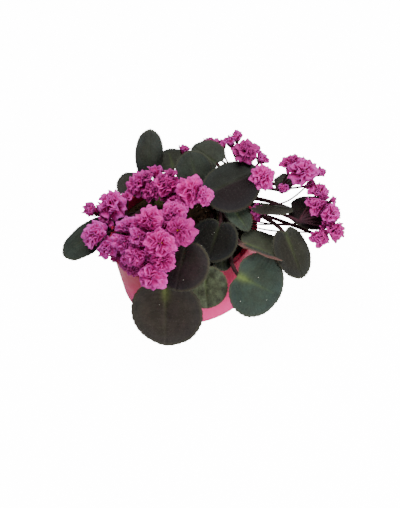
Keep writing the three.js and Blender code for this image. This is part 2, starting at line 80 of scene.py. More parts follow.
# How far a blade wanders out of its plane, in three long waves round it and in seven short ones
SWAY = (0.5, 0.25)


def leaf(name, crown, base, tip, width, root, arch, face=(0, 0, 1), cup=-2, bow=2, side=0, maroon=0.5,
         light=1.0, blue=0.0, vein=0.3, margin=0.3, patches=0.0, blush=0.0, glow=0.0, green=0.0,
         painted_shade_half=0.0, rolled=0.0):
    """One leaf: the places of its notch and tip, its width, the way it faces, the cup of its sides and the
    bow to its tip, the height and side at which its stalk leaves the crown and the stalk's arch, and its
    own tint as shares. The share of painted shade darkens the front half where it is above zero, and else
    the back half: painted shade on the side of a fold that is turned from the light."""
    return dict(name=name, crown=crown, base=np.array(base, float), tip=np.array(tip, float), width=width,
                face=np.array(face, float), cup=cup, bow=bow, root=root, side=side, arch=arch,
                tint=dict(maroon=maroon, light=light, blue=blue, pale_vein=vein, margin=margin,
                          pale_patches=patches, blush=blush, glow=glow, green_stalk=green,
                          dark_front=max(painted_shade_half, 0), dark_back=max(-painted_shade_half, 0), rolled=rolled))


# Each leaf's lightness and blue share are partly its own tone and partly painted sheen.
LEAVES = [
    # A last share that darkens the front or back half of a blade is painted shade on the side of a fold
    # turned from the light.
    leaf("front_big", "left", (-16, -64, 66), (-25, -91, 26), 53,
         root=52, arch=6, glow=0.4, maroon=0.6, light=1.32, vein=0.1, painted_shade_half=-0.35),
    leaf("front_mid", "left", (4, -48, 87), (-11, -74, 65), 40,
         root=59, side=2, arch=4, maroon=1, light=0.63, vein=0.08, margin=0.4),
    leaf("front_small", "right", (12, -53, 63), (9, -73, 38), 32,
         cup=2, root=51, side=-3, arch=1, maroon=0.1, light=1.32, vein=0.3, patches=0.45, margin=0.5),
    leaf("front_round", "right", (31, -62, 59), (62, -77, 43), 48, face=(0.35, -0.75, 0.62),
         cup=-1, root=52, side=1, arch=6, maroon=0.05, light=1.14, blue=1.0, vein=0.28, glow=0.42),
    leaf("centre", "right", (30, -25, 78), (15, -50, 63), 36,
         cup=2, root=60, side=-3, arch=2, maroon=0.5, light=0.2, vein=0.1),
    leaf("crest", "right", (19, -15, 93), (62, -7, 103), 38, face=(-0.2, -0.5, 0.8),
         cup=-11, bow=3, root=65, side=-2, arch=2, maroon=0.3, light=0.53, blue=0.7, vein=0.08,
         painted_shade_half=0.95),
    leaf("back_mid", "left", (18, 2, 86), (15, 24, 105), 28,
         cup=-3, root=63, arch=2, maroon=0.15, light=0.77, blue=0.6, vein=0.12),
    leaf("back_arch", "right", (37, 27, 83), (18, 50, 90), 29, face=(-0.3, -0.3, 0.9),
         cup=-5, bow=4, root=57, arch=4, maroon=0.2, light=1.22, blue=0.5, vein=0.12),
    leaf("back_low", "left", (1, 33, 80), (-1, 60, 85), 29,
         cup=-3, bow=4, root=57, arch=4, maroon=0.25, light=0.85, blue=0.3, vein=0.2),
    leaf("back_tall", "left", (-20, 35, 74), (-11, 44, 114), 22, face=(0.1, -1, 0.3),
         root=62, arch=2, maroon=0.35, light=1.7, blue=1.0, vein=0.06),
    leaf("left_back", "left", (-25, 15, 79), (-38, 37, 84), 26,
         root=57, side=-4, arch=3, maroon=0.4, light=0.9, blue=0.4, vein=0.08),
    leaf("left_low", "left", (-52, -3, 74), (-91, -19, 64), 31, face=(-0.15, -0.1, 1),
         bow=3, root=54, arch=1, maroon=0.15, blue=0.8, vein=0.08),
    leaf("right_oval", "right", (72, -39, 74), (80, -69, 50), 26,
         root=61, side=-0.5, arch=1, maroon=0.35, light=0.72, blue=0.2, vein=0.2, painted_shade_half=0.3),
    leaf("right_long", "right", (54, -15, 78), (81, -29, 81), 27, face=(0, 0.5, 0.85),
         cup=-3, root=66.5, side=0.5, arch=2, maroon=0.5, vein=0.25, green=0.5),
    leaf("right_dark", "right", (79, -20, 73), (115, -34, 72), 34,
         root=56, side=5.5, arch=8, maroon=1, light=0.65, vein=0.08),
    leaf("right_back", "right", (74, 5, 76), (89, 4, 80), 19,
         root=61, side=5.5, arch=4, maroon=0.4, light=0.6, blue=0.4, vein=0.1),
    leaf("right_cup", "right", (38, -36, 65), (69, -56, 58), 32, face=(0.1, 0.3, 0.9),
         cup=7, bow=0, root=56, arch=2, maroon=0.1, light=1.35, blue=0.2, vein=0.25, blush=0.8, rolled=0.8),
    leaf("inner", "right", (37, -9, 78), (48, -33, 71), 17,
         cup=3, root=69, side=-2, arch=1, maroon=0, light=1.35, blue=0.6, vein=0.4, green=0.9),
    leaf("front_low", "right", (26.5, -32, 63), (25.5, -55, 57), 15,
         root=64.5, side=1.4, arch=1, maroon=0, light=1.1, blue=0.2, vein=0.3, green=0.8),
]

# Each spray: its crown, the hub where its branches part, the heart that its flowers face away from, the
# height and side at which it leaves the crown, its open blooms as (x, y, z, radius) with their tones as
# (lavender, old), its buds and faded flowers as (x, y, z, radius), and the corners of its bare stalks
SPRAYS = [
    dict(name="front", crown="left", hub=(-27, -45, 73), heart=(-18, -41, 61), root=66, side=-2,
         blooms=[(-28, -50, 97, 9.5), (-14.5, -62, 100.5, 12), (-15, -66.5, 89, 9.5),
                 (-24.5, -69, 79, 11), (-32.5, -57, 88, 9)],
         tones=[(0.8, 0.1), (0.3, 0), (0.2, 0.1), (0.5, 0), (0.5, 0.1)],
         buds=[(-42, -50, 78, 4.5)]),
    dict(name="left", crown="left", hub=(-42, -15, 77), heart=(-36, -15, 57), root=62, side=-1,
         blooms=[(-62.5, -22.5, 80.5, 11), (-56, -31.5, 74.5, 8), (-48, -2.5, 89.5, 12.5),
                 (-37.5, -32, 91, 9), (-40.5, -38.5, 85.5, 9.5)],
         tones=[(1, 0), (1, 0.1), (0.9, 0), (1, 0.1), (0.9, 0)],
         buds=[(-64, 2, 83, 7)],
         faded=[(-54.5, -9.5, 83.5, 5), (-50, -31.5, 64, 5.5), (-44, -39, 63, 5.5), (-38.5, -46, 62, 5.5)]),
    dict(name="middle", crown="left", hub=(-6, -25, 77), heart=(-8, -29, 59), root=63, side=1,
         blooms=[(-19, -42.5, 104.5, 11.5), (-3, -34, 101, 9), (-1.5, -50.5, 98.5, 12)],
         tones=[(0.3, 0.1), (0.5, 0.1), (0.2, 0.45)]),
    dict(name="upper", crown="left", hub=(-6, 6, 79), heart=(-6, 1, 57), root=68, side=0,
         blooms=[(-27, 11, 93, 10), (-16, 0, 94, 8.5), (-4.5, -5, 100, 11), (0, -14, 92, 9),
                 (11.5, -17, 102, 12.5), (19.5, -22, 101, 7.5)],
         tones=[(0.7, 0.2), (0.4, 0.4), (0.3, 0.1), (0.2, 0.3), (0.3, 0), (0.5, 0)],
         buds=[(-13, 16, 96, 6.5), (12, 41, 93, 5.5)],
         faded=[(-18.5, 8, 101.5, 4.5), (-8, -1.5, 104.5, 4.5), (-1, -0.5, 106, 4.5)]),
    dict(name="back", crown="right", hub=(45, 35, 73), heart=(42, 29, 65), root=69.5, side=-1.5,
         blooms=[(32, 57, 80, 10)],
         tones=[(0.8, 0.5)],
         buds=[(43, 57, 80, 4.5)]),
    dict(name="back_right", crown="right", hub=(52, 9, 87), heart=(50, 7, 69), root=66, side=3.5,
         blooms=[(56, 9.5, 108.5, 9.5), (63.5, -17.5, 104, 9)],
         tones=[(0.4, 0.7), (0.5, 0)],
         buds=[(66, 4, 103, 5.5), (46, 19, 111, 5), (51, 21, 113, 5)],
         faded=[(57, -21, 76, 5), (58, -19, 69, 4.5)]),
    dict(name="right", crown="right", hub=(76, -9, 81), heart=(72, -11, 69), root=62.5, side=2,
         blooms=[(87, -5, 101, 8.5), (92.5, -16.5, 102.5, 11)],
         tones=[(0.5, 0.4), (0.8, 0.3)],
         buds=[(106, -11, 94, 4.5), (77, -19, 91, 5)],
         bare=[[(60, -5, 72), (74, -38, 84), (79, -30, 90), (97.5, -22.5, 97)]]),
    dict(name="far_right", crown="right", hub=(84, -39, 76), heart=(80, -31, 65), root=57.5, side=1.5,
         blooms=[(101, -29, 92, 8.5), (98, -37, 88, 8), (106, -45, 85, 8.5)],
         tones=[(0.7, 0.3), (0.5, 0.3), (0.8, 0.1)],
         buds=[(109, -37, 90, 3)]),
    dict(name="low_right", crown="right", hub=(94, -43, 65), heart=(86, -37, 69), root=53, side=1.5,
         blooms=[(97, -53, 71, 7.5), (107, -53, 75, 8.5)],
         tones=[(0.5, 0.3), (0.4, 0.4)],
         bare=[[(54, -27, 61), (66, -27, 65), (80, -31, 71.5), (98, -41, 68)],
               [(53, -29, 62), (64, -39, 69), (83, -39, 67), (96, -40, 62)],
               [(50, -19, 63), (66, -29, 67), (79, -31, 65), (98, -37, 66)]]),
]

# Petals in layers, from the outside in. Lengths are shares of the bloom's radius, and angles in degrees:
# how many, length, height of the root, lean from flat, curl towards the tip, half width, ruffle
BLOOM_LAYERS = [
    (7, 1.12, -0.16, 14, -30, 0.66, 0.15),
    (7, 0.94, -0.08, 34, -30, 0.60, 0.19),
    (6, 0.76, 0.00, 54, -26, 0.52, 0.20),
    (5, 0.58, 0.04, 72, -10, 0.40, 0.16),
]
YOUNG_LAYERS = [
    (6, 1.20, -0.30, 34, -20, 0.64, 0.14),
    (5, 1.00, -0.20, 56, -16, 0.52, 0.14),
    (3, 0.75, -0.05, 80, 0, 0.38, 0.12),
]
BUD_LAYERS = [
    (5, 1.55, -0.75, 50, 20, 0.85, 0.14),
    (5, 1.55, -0.70, 64, 0, 0.66, 0.18),
    (3, 1.40, -0.60, 80, 0, 0.44, 0.16),
]
# How the petals of a layer differ: the spread of their places, how much shorter and longer they are, the
# spread of their lean in degrees, how far one side rides over the next petal, and the twist
UNEVEN = dict(place=0.12, shorter=0.22, longer=0.04, lean=13, ride=(0.05, 0.2), twist=0.2)
# How near another bloom comes before petals give way to it, as a share of both radii, and how far the
# outermost layer and each further one keep off the plane between the two
PRESSED = dict(near=1.3, outermost=0.6, each=0.4)
# Half-open flowers: how near two blooms come, as a share of their reach, and how deep and large the young
# one between them is, as shares of their mean radius
YOUNG = dict(near=1.25, sunk=0.35, size=0.5)
# (lavender, old) of the small flowers of each kind
SMALL_TONES = dict(buds=(0.9, 0.4), young=(0.7, 0.3), faded=(0.6, 0.7))
# The heart of a bloom and its two anthers, as shares of its radius, and the anthers' own size in mm
HEART = dict(top=0.16, girth=0.15, widest=-0.07, half=0.24)
ANTHER = dict(up=0.2, aside=0.07, lean=0.4, half_length=0.7, radius=0.55)
# A bud, as shares of its radius: the bottom of its calyx and the calyx's rim, the straight end of its
# branch, and the low end, high end, girth and half height of its plump core
BUD = dict(bottom=0.85, rim=0.4, straight=1.15, low=-0.9, high=0.4, girth=0.46, half=0.95)
# Sepals, as shares of the flower's radius: where they leave the calyx, and their length and lean
BUD_SEPALS = dict(low=-BUD["bottom"], foot=0.38, length=0.95, lean=68)
OPEN_SEPALS = dict(low=-CORE_BOTTOM, foot=0.15, length=0.5, lean=22)
# Rows and columns of a petal, and the half thickness of petals and sepals
PETAL_GRID = (8, 11)
SMALL_PETAL_GRID = (6, 7)
PETAL_HALF_THICKNESS = 0.24
SMALL_PETAL_HALF_THICKNESS = 0.2
SEPAL_HALF_THICKNESS = 0.22

# Hairs on a blade's face and round its edge: how many, how far they stand up and lean out, and their
# least and greatest length. Then how thick a hair is at its root
FACE_HAIRS = dict(count=1100, stand=1.0, lean=0.45, length=(0.6, 1.1))
EDGE_HAIRS = dict(count=620, stand=0.15, lean=1.0, length=(0.7, 1.3))
HAIR_WIDTH = 0.05
# Numbers of hairs on each stalk, of crumbs with the share of pale ones, and of grains of dust on a leaf
LEAF_STALK_HAIRS = 260
MAIN_STALK_HAIRS = 260
BARE_STALK_HAIRS = 130
BRANCH_HAIRS = 110
CRUMBS = 900
PALE_CRUMBS = 0.08
DUST = dict(front_round=3, centre=4, front_mid=1, front_big=1)

# A small diamond: its six points, and its eight faces, four above and four below
DIAMOND = np.array([[1, 0, 0], [0, 1, 0], [-1, 0, 0], [0, -1, 0], [0, 0, 1], [0, 0, -1]])
DIAMOND_FACES = np.array([[0, 1, 4], [1, 2, 4], [2, 3, 4], [3, 0, 4],
                          [1, 0, 5], [2, 1, 5], [3, 2, 5], [0, 3, 5]])

# Light that the floor shows to the camera, light that it throws back, and light of the room
FLOOR_GLOW = 14.0
FLOOR_BOUNCE = 0.22
ROOM_LIGHT = 0.12


# Plain vector and surface helpers


def unit(v):
    """The vectors at length 1."""
    return v / np.linalg.norm(v, axis=-1, keepdims=True)


def mixed(a, b, share):
    """The place or value at a share of the way from a to b."""
    return a + (b - a) * share


def circle(sides):
    """Evenly spaced angles once round."""
    return np.linspace(0, 2 * np.pi, sides, endpoint=False)


def rays(across, other, turn):
    """At each place the directions at the angles between two directions that are square to each other."""
    return across[:, None] * np.cos(turn)[None, :, None] + other[:, None] * np.sin(turn)[None, :, None]


def square_to(points):
    """The directions square to grids of points, from their steps along the rows and the columns."""
    return unit(np.cross(np.gradient(points, axis=1), np.gradient(points, axis=2)) + 1e-9)


def bezier(corners, share):
    """A curve that leaves its first corner towards the next and arrives at its last: the corners are
    weighted by the binomial shares of each place along it."""
    corners = np.array(corners, float)
    n = len(corners) - 1
    share = np.asarray(share, float)[:, None]
    weights = [math.comb(n, k) * share ** k * (1 - share) ** (n - k) for k in range(n + 1)]
    return sum(weight * corner for weight, corner in zip(weights, corners))


def grid(rows, columns, round_closed=False):
    """The four-cornered faces of a grid of points, counted row by row."""
    i, j = np.meshgrid(np.arange(rows - 1), np.arange(columns - (not round_closed)), indexing="ij")
    k = (j + 1) % columns
    below = i * columns
    above = below + columns
    return np.stack([below + j, below + k, above + k, above + j], -1).reshape(-1, 4)


def surface(points, quads, triangles=(), **masks):
    """Closed surfaces as one: points, faces and mask values. The volume under the faces, summed as
    pyramids from the middle, is below zero where they point inwards, and they are then turned round."""
    points = np.asarray(points, float).reshape(-1, 3)
    quads = np.asarray(quads, int).reshape(-1, 4)
    triangles = np.asarray(triangles, int).reshape(-1, 3)
    split = np.concatenate([quads[:, [0, 1, 2]], quads[:, [0, 2, 3]], triangles])
    a, b, c = (points - points.mean(0))[split].transpose(1, 0, 2)
    if np.einsum("ij,ij->", a, np.cross(b, c)) < 0:
        quads = quads[:, ::-1]
        triangles = triangles[:, ::-1]
    masks = {key: np.broadcast_to(np.asarray(value, float), np.shape(value) or (len(points),)).ravel()
             for key, value in masks.items()}
    return dict(points=points, quads=quads, triangles=triangles, masks=masks)


def sheets(middle, offset, **masks):
    """Thin leaves or petals from their middle surfaces, grids of shape (count, rows, columns, 3): one
    grid raised by the offset, one lowered by it, and a strip round the edge that joins the two."""
    count, rows, columns, _ = middle.shape
    each = rows * columns
    points = np.stack([middle + offset, middle - offset], 1)
    top = grid(rows, columns)
    index = np.arange(each).reshape(rows, columns)
    edge = np.concatenate([index[0, :-1], index[:-1, -1], index[-1, :0:-1], index[:0:-1, 0]])
    onward = np.roll(edge, -1)
    strip = np.stack([onward, edge, edge + each, onward + each], -1)
    one = np.concatenate([top, top[:, ::-1] + each, strip])
    faces = one + 2 * each * np.arange(count)[:, None, None]
    both = {key: np.broadcast_to(value[:, None], (count, 2, rows, columns)) for key, value in masks.items()}
    under = np.zeros((count, 2, rows, columns))
    under[:, 1] = 1
    return surface(points, faces, under=under, **both)


def stacked(rings, first, last, **masks):
    """A closed skin over a stack of rings of points, shape (rings, sides, 3), with a point at each end."""
    count, sides, _ = rings.shape
    points = np.concatenate([rings.reshape(-1, 3), [first], [last]])
    around = np.arange(sides)
    onward = (around + 1) % sides
    low = np.full(sides, count * sides)
    top = (count - 1) * sides
    first_fan = np.stack([low, onward, around], -1)
    last_fan = np.stack([low + 1, around + top, onward + top], -1)
    masks = {key: np.concatenate([np.broadcast_to(value, (count, sides)).ravel(), np.ravel(value)[[0, -1]]])
             if np.ndim(value) else np.full(len(points), float(value)) for key, value in masks.items()}
    return surface(points, grid(count, sides, True), np.concatenate([first_fan, last_fan]), **masks)


def bar(path, radii, sides, **masks):
    """A round bar: at each point of the path a ring of that radius, square to the path. The rings start
    towards one side that all of them share: the way that is squarest to the whole path."""
    tangent = unit(np.gradient(path, axis=0))
    shared = np.linalg.svd(tangent)[2][-1]
    across = unit(shared - tangent * (tangent @ shared)[:, None])
    other = np.cross(tangent, across)
    radii = np.asarray(radii, float)
    radii = radii[:, None] if radii.ndim == 1 else radii
    rings = path[:, None] + rays(across, other, circle(sides)) * radii[..., None]
    return stacked(rings, path[0], path[-1], **{key: value[:, None] if np.ndim(value) else value
                                               for key, value in masks.items()})


def turned(profile, sides, centre=(0, 0)):
    """A profile of (radius, height) from axis to axis, carried round the upright axis."""
    profile = np.array(profile, float)
    turn = circle(sides)
    radius = profile[1:-1, 0][:, None]
    height = np.broadcast_to(profile[1:-1, 1][:, None], (len(profile) - 2, sides))
    rings = np.stack([centre[0] + radius * np.cos(turn), centre[1] + radius * np.sin(turn), height], -1)
    return stacked(rings, (*centre, profile[0, 1]), (*centre, profile[-1, 1]))


def hairs(roots, ways, lengths, random, **masks):
    """Fine hairs, each a slim three-sided spike from its root along its way."""
    count = len(roots)
    across = unit(np.cross(ways, random.normal(size=(count, 3))))
    other = np.cross(ways, across)
    foot = roots[:, None] + HAIR_WIDTH * rays(across, other, np.arange(3) * 2 * np.pi / 3)
    points = np.concatenate([foot, (roots + ways * lengths[:, None])[:, None]], 1)
    one = np.array([[0, 1, 3], [1, 2, 3], [2, 0, 3], [2, 1, 0]])
    faces = one + 4 * np.arange(count)[:, None, None]
    return surface(points, (), faces, hair=np.ones(4 * count),
                   **{key: np.full(4 * count, float(value)) for key, value in masks.items()})


def diamonds(centres, sizes, uneven, random, wander=0.0):
    """Small uneven diamonds: each has a size drawn from a range, times a draw for each of its six points,
    and the points may wander by a normal draw."""
    count = len(centres)
    size = random.uniform(*sizes, (count, 1, 1)) * random.uniform(*uneven, (count, 6, 1))
    points = centres[:, None] + DIAMOND * size
    if wander:
        points = points + random.normal(0, wander, points.shape)
    return surface(points, (), DIAMOND_FACES + 6 * np.arange(count)[:, None, None])


def piece(name, surfaces, material, node_name):
    """Puts the surfaces into one mesh object that stands for the node and rides on the body."""
    offsets = np.cumsum([0] + [len(s["points"]) for s in surfaces])
    points = np.concatenate([s["points"] for s in surfaces]) * MM
    quads = np.concatenate([s["quads"] + at for s, at in zip(surfaces, offsets)])
    triangles = np.concatenate([s["triangles"] + at for s, at in zip(surfaces, offsets)])
    sizes = np.concatenate([np.full(len(quads), 4), np.full(len(triangles), 3)])
    corners = np.concatenate([quads.ravel(), triangles.ravel()])
    mesh = bpy.data.meshes.new(name)
    mesh.vertices.add(len(points))
    mesh.vertices.foreach_set("co", points.ravel())
    mesh.loops.add(len(corners))
    mesh.loops.foreach_set("vertex_index", corners)
    mesh.polygons.add(len(sizes))
    mesh.polygons.foreach_set("loop_start", np.concatenate([[0], np.cumsum(sizes)[:-1]]))
    mesh.polygons.foreach_set("use_smooth", np.ones(len(sizes), bool))
    for key in sorted({key for s in surfaces for key in s["masks"]}):
        values = np.concatenate([s["masks"].get(key, np.zeros(len(s["points"]))) for s in surfaces])
        mesh.attributes.new(key, "FLOAT", "POINT").data.foreach_set("value", values)
    mesh.update(calc_edges=True)
    mesh.materials.append(material)
    made = bpy.data.objects.new(name, mesh)
    bpy.context.scene.collection.objects.link(made)
    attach(made, "root")
    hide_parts(node_name)
    return made


# Parts of the materials


def colour(code):
    """A linear colour from its six-figure screen code."""
    screen = np.array([int(code[k:k + 2], 16) / 255 for k in (0, 2, 4)])
    linear = np.where(screen <= 0.04045, screen / 12.92, ((screen + 0.055) / 1.055) ** 2.4)
    return (*linear, 1.0)


def node(tree, kind, inputs=None, **settings):
    """One node of a tree: its settings, and its inputs as values or as other nodes' outputs."""
    made = tree.nodes.new(kind)
    for key, value in settings.items():
        setattr(made, key, value)
    for key, value in (inputs or {}).items():
        if isinstance(value, bpy.types.NodeSocket):
            tree.links.new(value, made.inputs[key])
        else:
            made.inputs[key].default_value = value
    return made


def blend(tree, share, a, b, how="MIX"):
    """Colour a turned into colour b by a share."""
    return node(tree, "ShaderNodeMix", {0: share, 6: a, 7: b}, data_type="RGBA", blend_type=how).outputs[2]


def sums(tree, operation, a, b):
    """Two values put together by a sum of that kind."""
    return node(tree, "ShaderNodeMath", {0: a, 1: b}, operation=operation).outputs[0]


def times(tree, a, b):
    """Two values multiplied."""
    return sums(tree, "MULTIPLY", a, b)


def ranged(tree, value, low, high, to_low=0.0, to_high=1.0):
    """A value's smooth step from one range to another."""
    return node(tree, "ShaderNodeMapRange",
                {"Value": value, "From Min": low, "From Max": high, "To Min": to_low, "To Max": to_high},
                interpolation_type="SMOOTHSTEP").outputs["Result"]


def camera_glow(tree, low):
    """A light's strength: low for all rays, and the floor's glow on top for those that the camera sees."""
    seen = node(tree, "ShaderNodeLightPath").outputs["Is Camera Ray"]
    return sums(tree, "ADD", low, times(tree, seen, FLOOR_GLOW))


def mask(tree, name):
    """The value that the piece's own points carry under a name, and zero where they carry none."""
    return node(tree, "ShaderNodeAttribute", attribute_name=name).outputs["Fac"]


def noise(tree, vector, scale, detail=3.0):
    """Soft noise between zero and one."""
    return node(tree, "ShaderNodeTexNoise", {"Vector": vector, "Scale": scale, "Detail": detail,
                                            "Roughness": 0.55}).outputs["Fac"]


def new_group(name, inputs, outputs):
    """An empty node group with its sockets, as (name, kind, value)."""
    group = bpy.data.node_groups.new(name, "ShaderNodeTree")
    for title, kind, value in inputs:
        socket = group.interface.new_socket(title, in_out="INPUT", socket_type=kind)
        if value is not None:
            socket.default_value = value
    for title, kind in outputs:
        group.interface.new_socket(title, in_out="OUTPUT", socket_type=kind)
    return group, group.nodes.new("NodeGroupInput").outputs, group.nodes.new("NodeGroupOutput").inputs


def mottle_group():
    """Colour that wanders towards another one in soft patches with finer specks inside them."""
    group, given, out = new_group(
        "mottle",
        [("Vector", "NodeSocketVector", None), ("Colour", "NodeSocketColor", (1, 1, 1, 1)),
         ("Other", "NodeSocketColor", (0, 0, 0, 1)), ("Scale", "NodeSocketFloat", 100.0),
         ("Amount", "NodeSocketFloat", 0.5)],
        [("Colour", "NodeSocketColor")])
    wide = noise(group, given["Vector"], given["Scale"])
    fine = noise(group, given["Vector"], times(group, given["Scale"], 6.0))
    both = sums(group, "ADD", times(group, wide, 0.7), times(group, fine, 0.3))
    share = times(group, ranged(group, both, 0.35, 0.65), given["Amount"])
    group.links.new(blend(group, share, given["Colour"], given["Other"]), out["Colour"])
    return group


def relief_group():
    """The height of a fine uneven surface: soft swells with a grain on them."""
    group, given, out = new_group(
        "relief",
        [("Vector", "NodeSocketVector", None), ("Scale", "NodeSocketFloat", 300.0),
         ("Grain", "NodeSocketFloat", 0.4)],
        [("Height", "NodeSocketFloat")])
    swell = noise(group, given["Vector"], given["Scale"])
    grain = noise(group, given["Vector"], times(group, given["Scale"], 5.0), detail=2.0)
    group.links.new(sums(group, "ADD", swell, times(group, grain, given["Grain"])), out["Height"])
    return group


GROUPS = dict(mottle=mottle_group(), relief=relief_group())


def mottled(tree, place, body, other, scale, amount):
    """The colour body, which wanders towards the other one over the surface."""
    inputs = {"Vector": place, "Colour": body, "Other": other, "Scale": scale, "Amount": amount}
    return node(tree, "ShaderNodeGroup", inputs, node_tree=GROUPS["mottle"]).outputs["Colour"]


def new_material(name, **constants):
    """A material whose plain numbers stand on the shader itself. Gives its tree, shader and place."""
    material = bpy.data.materials.new(name)
    material.use_nodes = True
    tree = material.node_tree
    shader = tree.nodes["Principled BSDF"]
    for key, value in constants.items():
        shader.inputs[key.replace("_", " ")].default_value = value
    place = node(tree, "ShaderNodeTexCoord").outputs["Object"]
    return material, tree, shader, place


def finish_material(tree, shader, place, base, relief, rough, bump):
    """Puts the colour on the shader, with a roughness and a bump that follow one fine relief: relief is
    its scale and grain, rough the two heights and the roughness at each, bump the strength and depth."""
    inputs = {"Vector": place, "Scale": relief[0], "Grain": relief[1]}
    height = node(tree, "ShaderNodeGroup", inputs, node_tree=GROUPS["relief"]).outputs["Height"]
    raised = node(tree, "ShaderNodeBump", {"Height": height, "Strength": bump[0], "Distance": bump[1]})
    tree.links.new(base, shader.inputs["Base Color"])
    tree.links.new(ranged(tree, height, *rough), shader.inputs["Roughness"])
    tree.links.new(raised.outputs["Normal"], shader.inputs["Normal"])


# Materials


def leaf_material():
    """Velvety leaf. Its upper face is near-black olive that the leaf's own tint turns to blue-green or
    maroon, with dark, dull olive and pale patches, times the leaf's lightness; the blue tint and the
    lightness are partly the leaf's own tone and partly painted sheen. Over that lie paler ribs, a
    yellow-green glow by the notch, painted shade on the front or back half, a rolled red-brown rim, a
    grey painted sheen that thickens outwards and a thin margin. The under face is wine-red to olive with a
    blush, the stalk red-brown to green, and the grains of dust are pale."""
    material, tree, shader, place = new_material(
        "leaf_velvet", Sheen_Weight=0.06, Sheen_Roughness=0.5, Sheen_Tint=colour("b4c0e0"),
        Specular_IOR_Level=0.12)
    reach = mask(tree, "reach")
    light = mask(tree, "light")
    back = mask(tree, "back_half")
    front = sums(tree, "SUBTRACT", 1.0, back)
    # The blue share is partly the leaf's own blue-green and partly painted sheen.
    green = blend(tree, mask(tree, "blue"), colour("383d2d"), colour("33443c"))
    body = blend(tree, mask(tree, "maroon"), green, colour("3d2a2f"))
    body = mottled(tree, place, body, blend(tree, 0.5, body, colour("17120e")), 130.0, 0.9)
    body = mottled(tree, place, body, blend(tree, 0.3, body, colour("3e4030")), 45.0, 0.9)
    pale = blend(tree, mask(tree, "pale_patches"), body, colour("7d8a6a"))
    body = mottled(tree, place, body, pale, 210.0, 0.7)
    # The lightness is partly the leaf's own tone and partly painted sheen.
    bright = node(tree, "ShaderNodeCombineColor", {0: light, 1: light, 2: light}).outputs[0]
    body = blend(tree, 1.0, body, bright, "MULTIPLY")
    # Painted shade: one half of the blade darkened, the half of a fold that is turned from the light.
    dark_back = times(tree, back, mask(tree, "dark_back"))
    dark_front = times(tree, front, mask(tree, "dark_front"))
    rim = times(tree, ranged(tree, reach, 0.62, 0.78), front)
    under = mottled(tree, place, colour("6b3230"), colour("4f4a2e"), 160.0, 0.8)
    under = blend(tree, mask(tree, "blush"), under, colour("a8594c"))
    stalk = blend(tree, mask(tree, "green_stalk"), colour("3a2022"), colour("56643a"))
    layers = [
        (times(tree, mask(tree, "vein"), mask(tree, "pale_vein")), colour("6f8248")),
        (times(tree, mask(tree, "glow"), mask(tree, "by_notch")), colour("8fa34a")),
        # painted shade on one half of the blade
        (sums(tree, "ADD", dark_back, dark_front), colour("211819")),
        (times(tree, rim, mask(tree, "rolled")), colour("8a5650")),
        # Painted sheen: the face greys towards the edge, where velvet catches light at a glancing angle.
        (ranged(tree, reach, 0.5, 1.0, 0.0, 0.2), colour("3c4246")),
        (times(tree, ranged(tree, reach, 0.88, 1.0), mask(tree, "margin")), colour("5c5a40")),
        (mask(tree, "under"), under),
        (mask(tree, "stalk"), stalk),
        (times(tree, mask(tree, "hair"), 0.25), colour("a9aea0")),
        (mask(tree, "speck"), colour("c8cabc")),
    ]
    for share, tint in layers:
        body = blend(tree, share, body, tint)
    finish_material(tree, shader, place, body,
                    relief=(700.0, 0.5), rough=(0.3, 0.9, 0.45, 0.65), bump=(0.35, 0.0006))
    return material


def petal_material():
    """Petal tissue: deep magenta in the throat, hot pink over the middle, paler or lavender pink at a
    ragged edge, duller on old blooms, and gold on the anthers."""
    material, tree, shader, place = new_material(
        "petal_silk", Sheen_Weight=0.03, Sheen_Roughness=0.35, Sheen_Tint=colour("ff9ae0"),
        Specular_IOR_Level=0.1, Subsurface_Weight=0.12, Subsurface_Scale=0.0015,
        Subsurface_Radius=(1.0, 0.15, 0.5))
    reach = mask(tree, "reach")
    body = blend(tree, ranged(tree, reach, 0.1, 0.7), colour("a0185e"), colour("e8249e"))
    pale = blend(tree, mask(tree, "lavender"), colour("f444b2"), colour("ea72dc"))
    body = blend(tree, ranged(tree, reach, 0.55, 1.0, 0.0, 0.85), body, pale)
    body = mottled(tree, place, body, blend(tree, 0.7, body, colour("9c1468")), 240.0, 0.9)
    body = blend(tree, times(tree, mask(tree, "tint"), 0.35), body, colour("f44cc0"))
    body = blend(tree, times(tree, mask(tree, "old"), 0.75), body, colour("7c2c5c"))
    body = blend(tree, mask(tree, "anther"), body, colour("d8a018"))
    finish_material(tree, shader, place, body,
                    relief=(900.0, 0.3), rough=(0.3, 0.9, 0.45, 0.6), bump=(0.25, 0.0004))
    return material


def stalk_material():
    """Thin purple-brown flower stalks, browner on the calyx, with pale hairs."""
    material, tree, shader, place = new_material(
        "flower_stalk", Sheen_Weight=0.05, Sheen_Roughness=0.4, Sheen_Tint=colour("c9a7b0"),
        Specular_IOR_Level=0.15)
    body = mottled(tree, place, colour("4e2632"), colour("36222a"), 200.0, 0.9)
    body = blend(tree, mask(tree, "calyx"), body, colour("3d2c22"))
    body = blend(tree, times(tree, mask(tree, "hair"), 0.3), body, colour("a37a80"))
    finish_material(tree, shader, place, body,
                    relief=(900.0, 0.4), rough=(0.3, 0.9, 0.5, 0.7), bump=(0.3, 0.0004))
    return material


